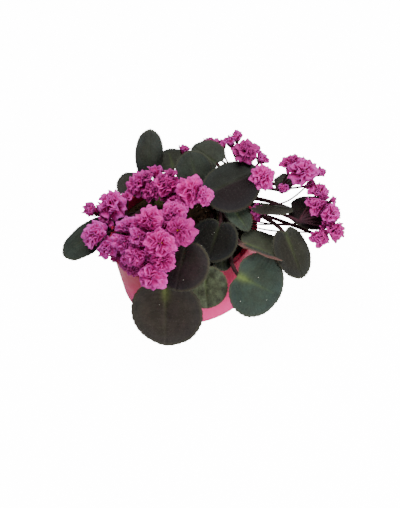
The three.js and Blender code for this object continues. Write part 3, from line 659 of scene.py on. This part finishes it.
def pot_material():
    """Thin moulded plastic: pink with a soft gloss, painted shade that deepens it towards the rim under the
    leaves and painted light that pales it towards the base, where the floor throws light up, with a faint
    moulded unevenness and a film of dust."""
    material, tree, shader, place = new_material(
        "pot_plastic", Specular_IOR_Level=0.2, Subsurface_Weight=0.15, Subsurface_Scale=0.003,
        Subsurface_Radius=(1.0, 0.3, 0.4))
    body = mottled(tree, place, colour("ea2a74"), colour("e0266a"), 25.0, 0.6)
    body = mottled(tree, place, body, blend(tree, 0.25, body, colour("b9807a")), 90.0, 0.25)
    level = node(tree, "ShaderNodeSeparateXYZ", {0: place}).outputs["Z"]
    # Painted shade: the wall darkens to deep crimson towards the rim, where the leaves shade it.
    body = blend(tree, ranged(tree, level, 0.014, 0.044, 0.0, 0.8), body, colour("a81c42"))
    # Painted light: the wall pales towards the base, where the floor throws light up on it.
    body = blend(tree, ranged(tree, level, 0.032, 0.004, 0.0, 0.85), body, colour("ff4c9c"))
    finish_material(tree, shader, place, body,
                    relief=(120.0, 0.15), rough=(0.3, 0.8, 0.32, 0.45), bump=(0.12, 0.001))
    return material


def soil_material():
    """Damp peat: near-black brown with lighter patches and a few pale crumbs."""
    material, tree, shader, place = new_material("peat", Specular_IOR_Level=0.1)
    body = mottled(tree, place, colour("21160f"), colour("3b2a1c"), 220.0, 0.9)
    body = blend(tree, times(tree, mask(tree, "pale"), 0.7), body, colour("9a8e7b"))
    finish_material(tree, shader, place, body,
                    relief=(500.0, 0.8), rough=(0.3, 1.1, 0.8, 0.97), bump=(0.8, 0.001))
    return material


def crown_material():
    """The plant's neck: dull brown bark with greener young tissue towards its top."""
    material, tree, shader, place = new_material("crown_bark", Specular_IOR_Level=0.15)
    body = mottled(tree, place, colour("483625"), colour("2b2017"), 180.0, 0.9)
    body = blend(tree, times(tree, mask(tree, "young"), 0.7), body, colour("4d562c"))
    finish_material(tree, shader, place, body,
                    relief=(300.0, 0.7), rough=(0.3, 1.1, 0.7, 0.9), bump=(0.7, 0.001))
    return material


def floor_material():
    """Plain white floor with a faint unevenness, which glows for the camera like a light table and throws
    a little light back on the plant."""
    material, tree, shader, place = new_material("floor", Specular_IOR_Level=0.1)
    body = mottled(tree, place, (0.93, 0.93, 0.93, 1), (0.91, 0.91, 0.91, 1), 4.0, 0.5)
    tree.links.new(body, shader.inputs["Base Color"])
    tree.links.new(ranged(tree, noise(tree, place, 20.0), 0.3, 0.7, 0.85, 0.95), shader.inputs["Roughness"])
    shader.inputs["Emission Color"].default_value = (1, 1, 1, 1)
    tree.links.new(camera_glow(tree, FLOOR_BOUNCE), shader.inputs["Emission Strength"])
    return material


# The pot, the soil and the crown


def outer(z):
    """The pot's wall outside at a height: a straight taper from the base to under the lip."""
    return POT["base_radius"] + (POT["top_radius"] - POT["lip"] - POT["base_radius"]) * z / POT["height"]


def inside(z):
    """The pot's wall inside at a height."""
    return outer(z) - POT["wall"]


def pot_profile():
    """The turned profile from the axis under the floor, round the foot, up the wall, over the lip, down
    the inside and back to the axis, with its edges rounded."""
    toe_high, toe_deep, lip_round, corner = 1.5, 1.4, 1, 4
    height, foot = POT["height"], POT["base_radius"] - UNDERSIDE["foot_width"]
    hub, recess = UNDERSIDE["hub_radius"], UNDERSIDE["recess"]
    floor_top = POT["floor"] + recess
    lip_low = height - POT["lip_height"]
    top = POT["top_radius"]
    turn = np.linspace(0, np.pi / 2, 6)
    under = [(0, 0), (hub - 0.4, 0), (hub, 0.3), (hub + 1.6, recess - 0.2), (hub + 2.1, recess),
             (foot - 2.1, recess), (foot - 1.6, recess - 0.2), (foot - 0.3, 0.2), (foot, 0)]
    toe = [(outer(toe_high) - toe_deep + toe_deep * math.sin(t), toe_high - toe_high * math.cos(t))
           for t in turn[:-1]]
    side = [(outer(z), z) for z in np.linspace(toe_high, lip_low, 24)]
    lip = [(top - 0.5, lip_low + 0.5), (top, lip_low + 1.1)]
    lip += [(top - lip_round + lip_round * math.cos(t), height - lip_round + lip_round * math.sin(t))
            for t in turn]
    mouth = [(inside(height) + 0.3, height), (inside(height), height - 0.3)]
    back = [(inside(z), z) for z in np.linspace(height - 4, floor_top + corner, 20)]
    base = [(inside(floor_top) - corner + corner * math.cos(t), floor_top + corner - corner * math.sin(t))
            for t in turn[1:]]
    return under + toe + side + lip + mouth + back + base + [(0, floor_top)]


def make_pot(material):
    """The turned pot with its drain holes cut through the recessed floor."""
    pot = piece("pot_body", [turned(pot_profile(), 128)], material, "pot")
    turns = np.arange(DRAIN["count"]) * 2 * np.pi / DRAIN["count"]
    reach = 3 * (POT["floor"] + UNDERSIDE["recess"])
    pegs = [turned([(0, -reach), (DRAIN["radius"], -reach), (DRAIN["radius"], reach), (0, reach)], 32,
                   (DRAIN["ring"] * math.cos(t), DRAIN["ring"] * math.sin(t))) for t in turns]
    cutter = piece("drill", pegs, material, "pot")
    cut = pot.modifiers.new("drain", "BOOLEAN")
    cut.object = cutter
    cut.operation = "DIFFERENCE"
    cut.solver = "EXACT"
    bpy.context.view_layer.update()
    finished = bpy.data.meshes.new_from_object(pot.evaluated_get(bpy.context.evaluated_depsgraph_get()))
    pot.modifiers.clear()
    pot.data = finished
    finished.set_sharp_from_angle(angle=math.radians(38))
    bpy.data.objects.remove(cutter)
    return pot


def make_soil(material, random):
    """Potting soil: rings that rise to a low mound, each point lifted by waves and a random draw, with
    the wall and floor of the pot's inside below, and loose crumbs sunk into the top."""
    sides = 120
    bottom = POT["floor"] + UNDERSIDE["recess"] + GAP
    reach = inside(SOIL["top"]) - 2 * GAP
    share = np.linspace(1, 0.03, 34)[:, None]
    turn = circle(sides)[None]
    x, y = share * reach * np.cos(turn), share * reach * np.sin(turn)
    lift = 0.7 * np.sin(0.31 * x + 1.3) * np.sin(0.27 * y) + 0.4 * np.sin(0.9 * x) * np.sin(0.8 * y + 2)
    lift = lift * (1.02 - share ** 6) + random.normal(0, 0.25, lift.shape)
    top = np.stack([x, y, SOIL["top"] + SOIL["mound"] * (1 - share ** 2) + lift], -1)
    low = np.array([[inside(bottom) - 5, bottom], [inside(bottom + 4) - 2 * GAP, bottom + 4.5]])
    walls = np.stack([low[:, :1] * np.cos(turn), low[:, :1] * np.sin(turn),
                      np.broadcast_to(low[:, 1:], (2, sides))], -1)
    bed = stacked(np.concatenate([walls, top]), (0, 0, bottom), (0, 0, SOIL["top"] + SOIL["mound"]))
    far = np.sqrt(random.uniform(0.03, 0.93, CRUMBS)) * reach
    way = random.uniform(0, 2 * np.pi, CRUMBS)
    rise = SOIL["top"] + SOIL["mound"] * (1 - (far / reach) ** 2) + random.uniform(-0.3, 0.7, CRUMBS)
    centres = np.stack([far * np.cos(way), far * np.sin(way), rise], -1)
    crumbs = diamonds(centres, (0.5, 1.5), (0.6, 1.3), random, 0.12)
    crumbs["masks"]["pale"] = np.repeat((random.uniform(size=CRUMBS) < PALE_CRUMBS).astype(float), 6)
    return piece("potting_soil", [bed, crumbs], material, "soil")


def make_crown(material):
    """The forked neck: two turned heads with lumps where old leaves fell, and the link below them."""
    radius, bottom, top = CROWN["radius"], CROWN["bottom"], CROWN["top"]
    z = np.linspace(bottom, top, 40)
    stations = [bottom, SOIL["top"], top - 12, top - 4, top]
    swell = np.interp(z, stations, [0.7, 0.8, 1.0, 0.8, 0.3]) * radius
    sides = 40
    turn = circle(sides)
    heads = []
    for k, (x, y) in enumerate(CROWNS.values()):
        ripple = np.sin(5 * turn[None] + 1.1 * z[:, None] + k)
        lumps = 0.35 * ripple * np.sin(1.3 * z[:, None] + 2 * turn[None])
        path = np.stack([np.full_like(z, x), np.full_like(z, y), z], -1)
        young = np.clip((z - top + 14) / 12, 0, 1)
        heads.append(bar(path, swell[:, None] - 0.3 + lumps, sides, young=young))
    level = bottom + CROWN["fork"] + 1
    ends = [np.array([x, y, level], float) for x, y in CROWNS.values()]
    link = bar(mixed(ends[0], ends[1], np.linspace(0, 1, 12)[:, None]), np.full(12, CROWN["fork"] - 0.2), 20)
    return piece("plant_crown", [*heads, link], material, "crown")


# Leaves


def blade_frame(leaf):
    """The blade's base and its own axes: along to the tip, across, and out of its face."""
    along = leaf["tip"] - leaf["base"]
    length = np.linalg.norm(along)
    along = along / length
    face = unit(leaf["face"] - along * (leaf["face"] @ along))
    return leaf["base"], along, np.cross(face, along), face, length


def outline_share(angle):
    """The heart-shaped outline as a share of the ellipse: a notch at the stalk and a slight point."""
    away = np.abs((angle + np.pi) % (2 * np.pi) - np.pi)
    notch = 1 - NOTCH["depth"] * np.exp(-(((np.pi - away) / NOTCH["width"]) ** 2))
    return notch * (1 + TIP["rise"] * np.exp(-((away / TIP["width"]) ** 2)))


def blade_points(leaf, share, angle):
    """Points of the blade's middle surface at a share of the way out and an angle from the tip.

    The height over the blade's plane is the cup or droop of its sides, less the bow to its tip, plus
    the quilting: a dome in each cell between the side veins, which leave the midrib about every seventh
    of the length and sweep forward, and a groove along each vein. Also gives the vein mask."""
    base, along, across, face, length = blade_frame(leaf)
    width = leaf["width"]
    teeth = 1 + BLADE["scallop"] * np.cos(9 * angle) * share
    teeth += BLADE["tooth"] * np.cos(BLADE["teeth"] * angle) * share ** 8
    reach = share * outline_share(angle) * teeth
    x, y = reach * np.cos(angle), reach * np.sin(angle)
    height = leaf["cup"] * (np.sqrt(y ** 2 + 0.02) - 0.14) - leaf["bow"] * ((x + 1) / 2) ** 2
    seed = width + leaf["root"]
    side = np.abs(y)
    across_mm = side * width / 2
    sweep = QUILT["sweep"] * side ** 1.25
    order = (x - sweep + 0.06 * np.sin(seed + 9 * side) + 1.05) / QUILT["row"]
    beside = (order - np.round(order)) * QUILT["row"] * length / 2
    cell = across_mm / QUILT["cell"] + 0.5 * (np.round(order) % 2) + 0.12 * np.sin(3 * order + seed)
    beyond = (cell - np.round(cell)) * QUILT["cell"]
    rib_width = MIDRIB["wide"] - MIDRIB["narrows"] * (x + 1) / 2
    midrib = np.exp(-((across_mm / rib_width) ** 2))
    laterals = np.exp(-((beside / SIDE_VEIN["wide"]) ** 2)) * (1 - share ** 8)
    small = np.exp(-((beyond / SMALL_VEIN["wide"]) ** 2)) * (1 - share ** 8)
    dome = np.abs(np.cos(np.pi * (order - np.round(order)))) * np.abs(np.cos(np.pi * (cell - np.round(cell))))
    quilt = QUILT["dome"] * dome * (1 - share ** 10) - SIDE_VEIN["depth"] * laterals
    quilt = quilt - SMALL_VEIN["depth"] * small - MIDRIB["depth"] * midrib
    sway = (SWAY[0] * share ** 2 * np.sin(3 * angle + seed)
            + SWAY[1] * share ** 4 * np.sin(7 * angle + 2 * seed))
    points = (base + along * ((x + 1) * length / 2)[..., None] + across * (y * width / 2)[..., None]
              + face * (height + quilt + sway)[..., None])
    fading = np.clip(0.75 - 0.65 * x, 0, 1) ** 1.5
    vein = np.clip(midrib * fading + 0.1 * (laterals + 0.5 * small) * fading, 0, 1)
    return points, vein


def disc(steps):
    """A square grid of points drawn out to a disc: each row and column bends as the other nears the
    edge, by the square root of one less half the other's square. Gives share and angle."""
    a, b = np.meshgrid(np.linspace(-1, 1, steps), np.linspace(-1, 1, steps), indexing="ij")
    u, v = a * np.sqrt(1 - b ** 2 / 2), b * np.sqrt(1 - a ** 2 / 2)
    return np.clip(np.hypot(u, v), 1e-6, 1), np.arctan2(v, u)


def crown_root(piece_of, towards):
    """Where a stalk leaves the crown on its way to a place."""
    x, y = CROWNS[piece_of["crown"]]
    outward = unit(np.array([towards[0] - x, towards[1] - y, 0.0]))
    sideways = np.cross(UP, outward)
    return np.array([x, y, piece_of["root"]]) + outward * CROWN["radius"] / 2 + sideways * piece_of["side"]


def leaf_stalk_path(leaf):
    """The stalk's curve from the crown over its arch and in under the blade, then on along the under
    side of the midrib, where it thins out to nothing."""
    base, along, _, face, length = blade_frame(leaf)
    end = base + along * (0.1 * length + STALK["overlap"]) - face * (BLADE["thickness"] / 2 + 1.1)
    root = crown_root(leaf, base)
    middle = mixed(root, base, 0.55)
    middle[2] = max(root[2], base[2]) + leaf["arch"]
    share = np.linspace(0, 1, LEAF_STALK_STEPS)
    curve = bezier([root, middle, base - along * 3 - face * 1.6, end], share)
    start = 2 * (0.1 * length + STALK["overlap"]) / length - 1
    x = np.linspace(start + 0.12, 0.8, 16)
    on, _ = blade_points(leaf, np.abs(x), np.where(x < 0, np.pi, 0.0))
    thin = np.linspace(1.25, 0.15, 16)
    path = np.concatenate([curve, on - face * (0.9 * thin + 0.1)[:, None]])
    radii = np.concatenate([mixed(STALK["root"], STALK["end"], share), thin])
    return path, radii


def blade_hairs(leaf, random):
    """Short hairs over the upper face, and longer ones that stand out from the edge."""
    _, along, across, face, _ = blade_frame(leaf)
    kinds = (FACE_HAIRS, EDGE_HAIRS)
    counts = [kind["count"] for kind in kinds]
    share = np.concatenate([np.sqrt(random.uniform(0, 1, counts[0])), np.full(counts[1], 0.995)])
    angle = random.uniform(-np.pi, np.pi, sum(counts))
    roots, _ = blade_points(leaf, share, angle)
    outward = unit(along * np.cos(angle)[:, None] + across * np.sin(angle)[:, None])
    stand = np.repeat([kind["stand"] for kind in kinds], counts)[:, None]
    lean = np.repeat([kind["lean"] for kind in kinds], counts)[:, None]
    ways = unit(face * stand + outward * lean + random.normal(0, 0.25, roots.shape))
    half = BLADE["thickness"] / 2 * (1 - BLADE["taper"] * share)
    roots = roots + face * np.where(share < 0.99, half * 0.8, 0)[:, None]
    lengths = np.concatenate([random.uniform(*kind["length"], kind["count"]) for kind in kinds])
    return hairs(roots, ways, lengths, random, **leaf["tint"])


def stalk_hairs(path, radii, count, length, random, **masks):
    """Hairs that stand out all round a stalk."""
    at = random.integers(1, len(path) - 1, count)
    tangent = unit(np.gradient(path, axis=0))[at]
    out = unit(np.cross(tangent, random.normal(size=(count, 3))))
    along = random.uniform(-0.5, 0.5, (count, 1)) * np.linalg.norm(path[at + 1] - path[at], axis=1)[:, None]
    roots = path[at] + tangent * along + out * (radii[at] * 0.9)[:, None]
    ways = unit(out + tangent * 0.3 + random.normal(0, 0.2, out.shape))
    return hairs(roots, ways, random.uniform(0.6, 1.0, count) * length, random, **masks)


def blade_specks(leaf, count, random):
    """Pale grains of dust that lie on the upper face, each an uneven little diamond."""
    _, _, _, face, _ = blade_frame(leaf)
    on, _ = blade_points(leaf, random.uniform(0.2, 0.85, count), random.uniform(-np.pi, np.pi, count))
    grains = diamonds(on + face * (BLADE["thickness"] / 2), (0.28, 0.45), (0.7, 1.2), random)
    grains["masks"]["speck"] = np.ones(6 * count)
    return grains


def make_leaf(leaf, material, random):
    """One leaf: the quilted blade, its stalk and midrib, its hairs and a few grains of dust. The glow by the
    notch fades by a bell curve along and across the midrib, and the halves part along it."""
    _, _, _, face, length = blade_frame(leaf)
    steps = int(26 + 0.5 * (length + leaf["width"]) / 2)
    share, angle = disc(steps)
    middle, vein = blade_points(leaf, share, angle)
    half = BLADE["thickness"] / 2 * (1 - BLADE["taper"] * share) * np.sqrt(1.04 - share ** 8)
    tint = {key: np.full((1, steps, steps), float(value)) for key, value in leaf["tint"].items()}
    out = share * outline_share(angle)
    x, y = out * np.cos(angle), out * np.sin(angle)
    by_notch = np.exp(-((x + 0.75) / 0.35) ** 2 - (y / 0.12) ** 2)
    back = np.clip(0.5 + 7 * y, 0, 1)
    blade = sheets(middle[None], (face * half[..., None])[None], vein=vein[None], reach=share[None],
                   by_notch=by_notch[None], back_half=back[None], **tint)
    path, radii = leaf_stalk_path(leaf)
    stalk = bar(path, radii, 12, stalk=1.0, **leaf["tint"])
    free = LEAF_STALK_STEPS
    down = stalk_hairs(path[:free], radii[:free], LEAF_STALK_HAIRS, 1.1, random, stalk=1.0, **leaf["tint"])
    name = leaf["name"]
    parts = [blade, stalk, blade_hairs(leaf, random), down]
    if name in DUST:
        parts.append(blade_specks(leaf, DUST[name], random))
    return piece(name + "_leaf", parts, material, "leaf_" + name)


# Flowers


def facing(spray, flower):
    """A flower's axis: away from its spray's heart, and a little up and forward to the light."""
    away = unit(np.array(flower[:3], float) - np.array(spray["heart"], float))
    return unit(away + LIGHT)


def flower_frame(spray, flower):
    """Centre, radius and the flower's own axes: two across and one along its facing."""
    z = facing(spray, flower)
    x = unit(np.cross(UP, z))
    return np.array(flower[:3], float), flower[3], x, np.cross(z, x), z


def placed(local, frame_of):
    """Points of a flower's own frame, at radius 1, put where the flower is."""
    centre, radius, x, y, z = frame_of
    return centre + radius * (local @ np.stack([x, y, z]))


def spindle(frame_of, level, girth, sides, **masks):
    """A round bar along a flower's axis, with its levels and girths as shares of the flower's radius."""
    centre, radius, _, _, z = frame_of
    return bar(centre + z * (level * radius)[:, None], girth * radius, sides, **masks)


def petal_layer(layer, start, fineness, random):
    """One layer of petals in the flower's own frame, at radius 1, shape (count, rows, columns, 3).

    Along a petal the distance from the axis and the height grow by the cosine and sine of its lean,
    which turns by the curl as it goes. Across it widens to a round end, whose edge is cut in by two
    waves, and ruffles stand up square to it, stronger towards the edge. One side rides over the next
    petal, and the whole petal twists a little. Gives the points and the share of the way out."""
    count, length, low, lean, curl, half_width, ruffle = layer
    rows, columns = fineness
    u = np.linspace(0, 1, rows)[None, :, None]
    v = np.linspace(-1, 1, columns)[None, None, :]
    one_each = (count, 1, 1)
    even = (start + 2 * np.pi * np.arange(count) / count).reshape(one_each)
    places = even + random.normal(0, UNEVEN["place"], one_each)
    size = 1 + random.uniform(-UNEVEN["shorter"], UNEVEN["longer"], one_each)
    phase = random.uniform(0, 2 * np.pi, (4, *one_each))
    edge = 1 - 0.30 * np.abs(v) ** 2.6
    edge = edge + 0.07 * np.sin(5 * v + phase[0]) + 0.03 * np.sin(11 * v + phase[1])
    far = length * size * u * mixed(1, edge, u ** 1.5)
    leaning = random.uniform(-UNEVEN["lean"], UNEVEN["lean"], one_each)
    tilt = np.radians(lean + leaning + curl * u * 0.6)
    lift_by = (random.uniform(*UNEVEN["ride"], one_each) * v * u
               + ruffle * u ** 1.5 * np.sin(4.5 * v + phase[2])
               + 0.55 * ruffle * u ** 3 * np.sin(10 * v + phase[3]))
    out = 0.07 + far * np.cos(tilt) - lift_by * np.sin(tilt)
    lift = low + far * np.sin(tilt) + lift_by * np.cos(tilt)
    spread = half_width * (0.22 + 0.78 * np.sin(np.pi / 2 * u ** 0.7))
    twist = random.uniform(-UNEVEN["twist"], UNEVEN["twist"], one_each) * u
    turn = places + v * spread / (np.maximum(out, 0.02) + 0.27) + twist
    points = np.stack([out * np.cos(turn), out * np.sin(turn), lift], -1)
    return points, np.broadcast_to(u, lift.shape)


def planes_between(flower, others):
    """The planes half way to each neighbouring bloom, as (normal, room)."""
    planes = []
    for other in others:
        normal = np.array(other[:3], float) - np.array(flower[:3], float)
        distance = np.linalg.norm(normal)
        if 0 < distance < PRESSED["near"] * (flower[3] + other[3]):
            planes.append((normal / distance, distance * flower[3] / (flower[3] + other[3]) - GAP))
    return planes


def bent_clear(points, centre, planes, inset):
    """Points eased back from each plane by a tanh curve: little near the middle, and never past it."""
    for normal, room in planes:
        reach = room - inset
        free = STIFF * reach
        along = (points - centre) @ normal
        eased = free + (reach - free) * np.tanh((along - free) / (reach - free))
        points = points + normal * np.where(along > free, eased - along, 0.0)[..., None]
    return points


def flower_petals(frame_of, layers, planes, random, thickness, fineness, tone):
    """All the petals of a flower as thin sheets, thickened square to themselves."""
    start = random.uniform(0, 2 * np.pi)
    lavender, old = tone
    made = []
    for k, layer in enumerate(layers):
        turn = start + k * np.pi / layer[0] + random.uniform(-0.2, 0.2)
        local, reach = petal_layer(layer, turn, fineness, random)
        inset = PRESSED["outermost"] + PRESSED["each"] * k
        points = bent_clear(placed(local, frame_of), frame_of[0], planes, inset)
        tint = np.broadcast_to(random.uniform(0, 1, len(points))[:, None, None], reach.shape)
        half = square_to(points) * thickness * (1 - 0.5 * reach[..., None])
        made.append(sheets(points, half, reach=reach, tint=tint,
                           lavender=np.full(reach.shape, lavender), old=np.full(reach.shape, old)))
    return made


def make_bloom(spray, k, everyone, material, random):
    """One double bloom: its layers of petals round a small heart with a pair of anthers."""
    flower = spray["blooms"][k]
    frame_of = flower_frame(spray, flower)
    centre, radius, x, _, z = frame_of
    petals = flower_petals(frame_of, BLOOM_LAYERS, planes_between(flower, everyone), random,
                           PETAL_HALF_THICKNESS, PETAL_GRID, spray["tones"][k])
    level = np.linspace(-CORE_BOTTOM, HEART["top"], 8)
    girth = HEART["girth"] * np.sqrt(np.clip(1 - ((level - HEART["widest"]) / HEART["half"]) ** 2, 0.02, 1))
    heart = spindle(frame_of, level, girth, 10, reach=0.0)
    anthers = []
    along = np.linspace(-ANTHER["half_length"], ANTHER["half_length"], 6)[:, None]
    plump = ANTHER["radius"] * np.sqrt([0.05, 0.7, 1, 1, 0.7, 0.05])
    for side in (-1, 1):
        spot = centre + z * ANTHER["up"] * radius + x * ANTHER["aside"] * side * radius
        anthers.append(bar(spot + (x * ANTHER["lean"] * side + z)[None] * along, plump, 8, anther=1.0))
    name = f"{spray['name']}_{k + 1}"
    return piece(name + "_bloom", [*petals, heart, *anthers], material, "bloom_" + name)


def young_flowers():
    """Half-open flowers that fill each head: one between every two blooms that nearly touch, sunk below
    them, and half their size. Adds them to the first bloom's spray."""
    blooms = [(spray, np.array(flower, float)) for spray in SPRAYS for flower in spray["blooms"]]
    for k, (spray, one) in enumerate(blooms):
        for _, other in blooms[k + 1:]:
            apart = np.linalg.norm(one[:3] - other[:3])
            reach = one[3] + other[3]
            if apart < YOUNG["near"] * reach:
                middle = mixed(one, other, one[3] / reach)
                sunk = middle[:3] - facing(spray, middle) * YOUNG["sunk"] * reach / 2
                spray.setdefault("young", []).append((*sunk, YOUNG["size"] * reach / 2))


def branch_path(spray, flower, end, straight):
    """A branch from the hub to a flower's end point, which it meets along the flower's axis."""
    hub = np.array(spray["hub"], float)
    axis = facing(spray, flower)
    bend = end - axis * straight
    reach = np.linalg.norm(bend - hub)
    start = hub - unit(bend - hub) * FLOWER_STALK["end"] / 2
    lifted = mixed(hub, bend, 0.4) + UP * reach * PEDICEL["arch"]
    return bezier([start, lifted, bend - axis * reach * 0.2, end], np.linspace(0, 1, 22))


def sepals(frame_of, random, low, foot, length, lean, count=5):
    """The pointed leaflets of a calyx: narrow sheets that leave its rim and taper to a point."""
    u = np.linspace(0, 1, 7)[None, :, None]
    v = np.linspace(-1, 1, 5)[None, None, :]
    places = (random.uniform(0, 2 * np.pi) + 2 * np.pi * np.arange(count) / count)[:, None, None]
    tilt = np.radians(lean)
    out = foot + length * u * np.cos(tilt)
    lift = low + length * u * np.sin(tilt) + 0.03 * v ** 2
    turn = places + v * 0.5 * (0.12 + 0.35 * np.sin(np.pi * u ** 0.6) * (1 - u)) / out
    out, lift, turn = np.broadcast_arrays(out, lift, turn)
    local = np.stack([out * np.cos(turn), out * np.sin(turn), lift], -1)
    points = placed(local, frame_of)
    return sheets(points, square_to(points) * SEPAL_HALF_THICKNESS, calyx=np.ones(points.shape[:3]))


def make_spray(spray, everyone, stalk_look, petal_look, random):
    """One spray: the main stalk, a branch and calyx for each flower, the buds, the half-open and faded
    flowers, stalks left bare by fallen flowers, and the hairs."""
    hub = np.array(spray["hub"], float)
    root = crown_root(spray, hub)
    middle = mixed(root, hub, 0.35)
    middle[2] = max(root[2], hub[2]) + FLOWER_STALK["arch"]
    share = np.linspace(0, 1, 26)
    main = bezier([root, middle, hub], share)
    girth = mixed(FLOWER_STALK["root"], FLOWER_STALK["end"], share)
    green = [bar(main, girth, 10, calyx=0.0), stalk_hairs(main, girth, MAIN_STALK_HAIRS, 1.0, random)]
    for corners in spray.get("bare", []):
        path = bezier([root - UP * BARE_STALK["below"], *corners], np.linspace(0, 1, 26))
        girth = np.full(len(path), BARE_STALK["radius"])
        green += [bar(path, girth, 8, calyx=0.0), stalk_hairs(path, girth, BARE_STALK_HAIRS, 0.8, random)]
    pink = []
    for kind in ("blooms", "buds", "young", "faded"):
        for flower in spray.get(kind, []):
            frame_of = flower_frame(spray, flower)
            centre, radius, _, _, z = frame_of
            bud = kind == "buds"
            top = -BUD["bottom"] * radius if bud else -CORE_BOTTOM * radius - GAP
            straight = BUD["straight"] * radius if bud else CALYX["height"]
            rim = BUD["rim"] * radius if bud else CALYX["flare"] * radius + CALYX["rim"]
            path = branch_path(spray, flower, centre + z * top, straight)
            share = np.linspace(0, 1, len(path))
            flare = np.clip((share - 0.9) / 0.1, 0, 1) ** 1.5
            girth = mixed(PEDICEL["root"], PEDICEL["end"], np.clip(share * 2, 0, 1))
            green.append(bar(path, girth + (rim - PEDICEL["end"]) * flare, 9, calyx=flare))
            green.append(stalk_hairs(path, girth, BRANCH_HAIRS, 0.9, random))
            if bud:
                green.append(sepals(frame_of, random, **BUD_SEPALS))
                level = np.linspace(BUD["low"], BUD["high"], 12)
                plump = BUD["girth"] * np.sqrt(np.clip(1 - (level / BUD["half"]) ** 2, 0.03, 1))
                pink.append(spindle(frame_of, level, plump, 14, reach=0.3))
            else:
                green.append(sepals(frame_of, random, **OPEN_SEPALS))
            if kind in SMALL_TONES:
                planes = planes_between(flower, everyone) if kind == "young" else []
                pink += flower_petals(frame_of, BUD_LAYERS if bud else YOUNG_LAYERS, planes, random,
                                      SMALL_PETAL_HALF_THICKNESS, SMALL_PETAL_GRID, SMALL_TONES[kind])
    name = spray["name"]
    piece(name + "_stalks", green, stalk_look, "spray_" + name)
    if pink:
        piece(name + "_buds", pink, petal_look, "spray_" + name)


# Floor, light and camera


def make_floor(material):
    """A wide pale floor that the pot stands on."""
    half = 12.0
    mesh = bpy.data.meshes.new("floor")
    corners = [(-half, -half, 0), (half, -half, 0), (half, half, 0), (-half, half, 0)]
    mesh.from_pydata(corners, [], [(0, 1, 2, 3)])
    mesh.materials.append(material)
    floor = bpy.data.objects.new("floor", mesh)
    bpy.context.scene.collection.objects.link(floor)


def soft_box(name, place, target, size, power, tint):
    """One rectangular studio light that looks at a place."""
    lamp = bpy.data.lights.new(name, "AREA")
    lamp.shape = "RECTANGLE"
    lamp.size, lamp.size_y = size
    lamp.energy = power
    lamp.color = tint
    made = bpy.data.objects.new(name, lamp)
    made.location = place
    way = np.array(target, float) - np.array(place, float)
    flat = math.hypot(way[0], way[1])
    made.rotation_euler = (math.atan2(flat, -way[2]), 0, math.atan2(way[0], -way[1]) + math.pi)
    bpy.context.scene.collection.objects.link(made)


def make_light():
    """A dim even room that looks white from the camera, one large soft light above and a little behind,
    and a weaker one low at the front right."""
    world = bpy.data.worlds.new("room")
    world.use_nodes = True
    tree = world.node_tree
    room = tree.nodes["Background"]
    room.inputs["Color"].default_value = (1.0, 1.0, 1.0, 1.0)
    tree.links.new(camera_glow(tree, ROOM_LIGHT), room.inputs["Strength"])
    bpy.context.scene.world = world
    plant = (0, -0.01, 0.05)
    soft_box("key", place=(0.0, 0.2, 1.1), target=plant, size=(0.7, 0.7), power=14.0, tint=(1.0, 0.99, 0.98))
    soft_box("fill", place=(0.62, -0.8, 0.36), target=plant, size=(0.6, 0.6), power=10.0,
             tint=(0.98, 0.99, 1.0))


def make_camera():
    """The photograph's view: from 47 degrees above, with a slight roll."""
    focal_pixels, long_side, sensor = 720, 508, 36.0
    camera = bpy.data.cameras.new("camera")
    camera.sensor_width = sensor
    camera.lens = focal_pixels / long_side * sensor
    camera.clip_start, camera.clip_end = 0.01, 50.0
    made = bpy.data.objects.new("camera", camera)
    right = (0.98629, -0.12071, -0.11256)
    up = (0.16505, 0.72133, 0.67264)
    back = (0.0, -0.6820, 0.7314)
    place = (0.0104, -0.3981, 0.4446)
    turn = np.eye(4)
    turn[:3] = np.stack([right, up, back, place], 1)
    made.matrix_world = Matrix(turn)
    bpy.context.scene.collection.objects.link(made)
    bpy.context.scene.camera = made


def main():
    """Makes the scene: camera, light and floor, the pot and what is in it, the leaves and the flowers."""
    random = np.random.default_rng(2024)
    make_camera()
    make_light()
    make_floor(floor_material())
    make_pot(pot_material())
    make_soil(soil_material(), random)
    make_crown(crown_material())
    leaf_look, petal_look, stalk_look = leaf_material(), petal_material(), stalk_material()
    for one in LEAVES:
        make_leaf(one, leaf_look, random)
    everyone = [flower for spray in SPRAYS for flower in spray["blooms"]]
    young_flowers()
    for spray in SPRAYS:
        make_spray(spray, everyone, stalk_look, petal_look, random)
        for k in range(len(spray["blooms"])):
            make_bloom(spray, k, everyone, petal_look, random)


main()
bpy.context.view_layer.update()
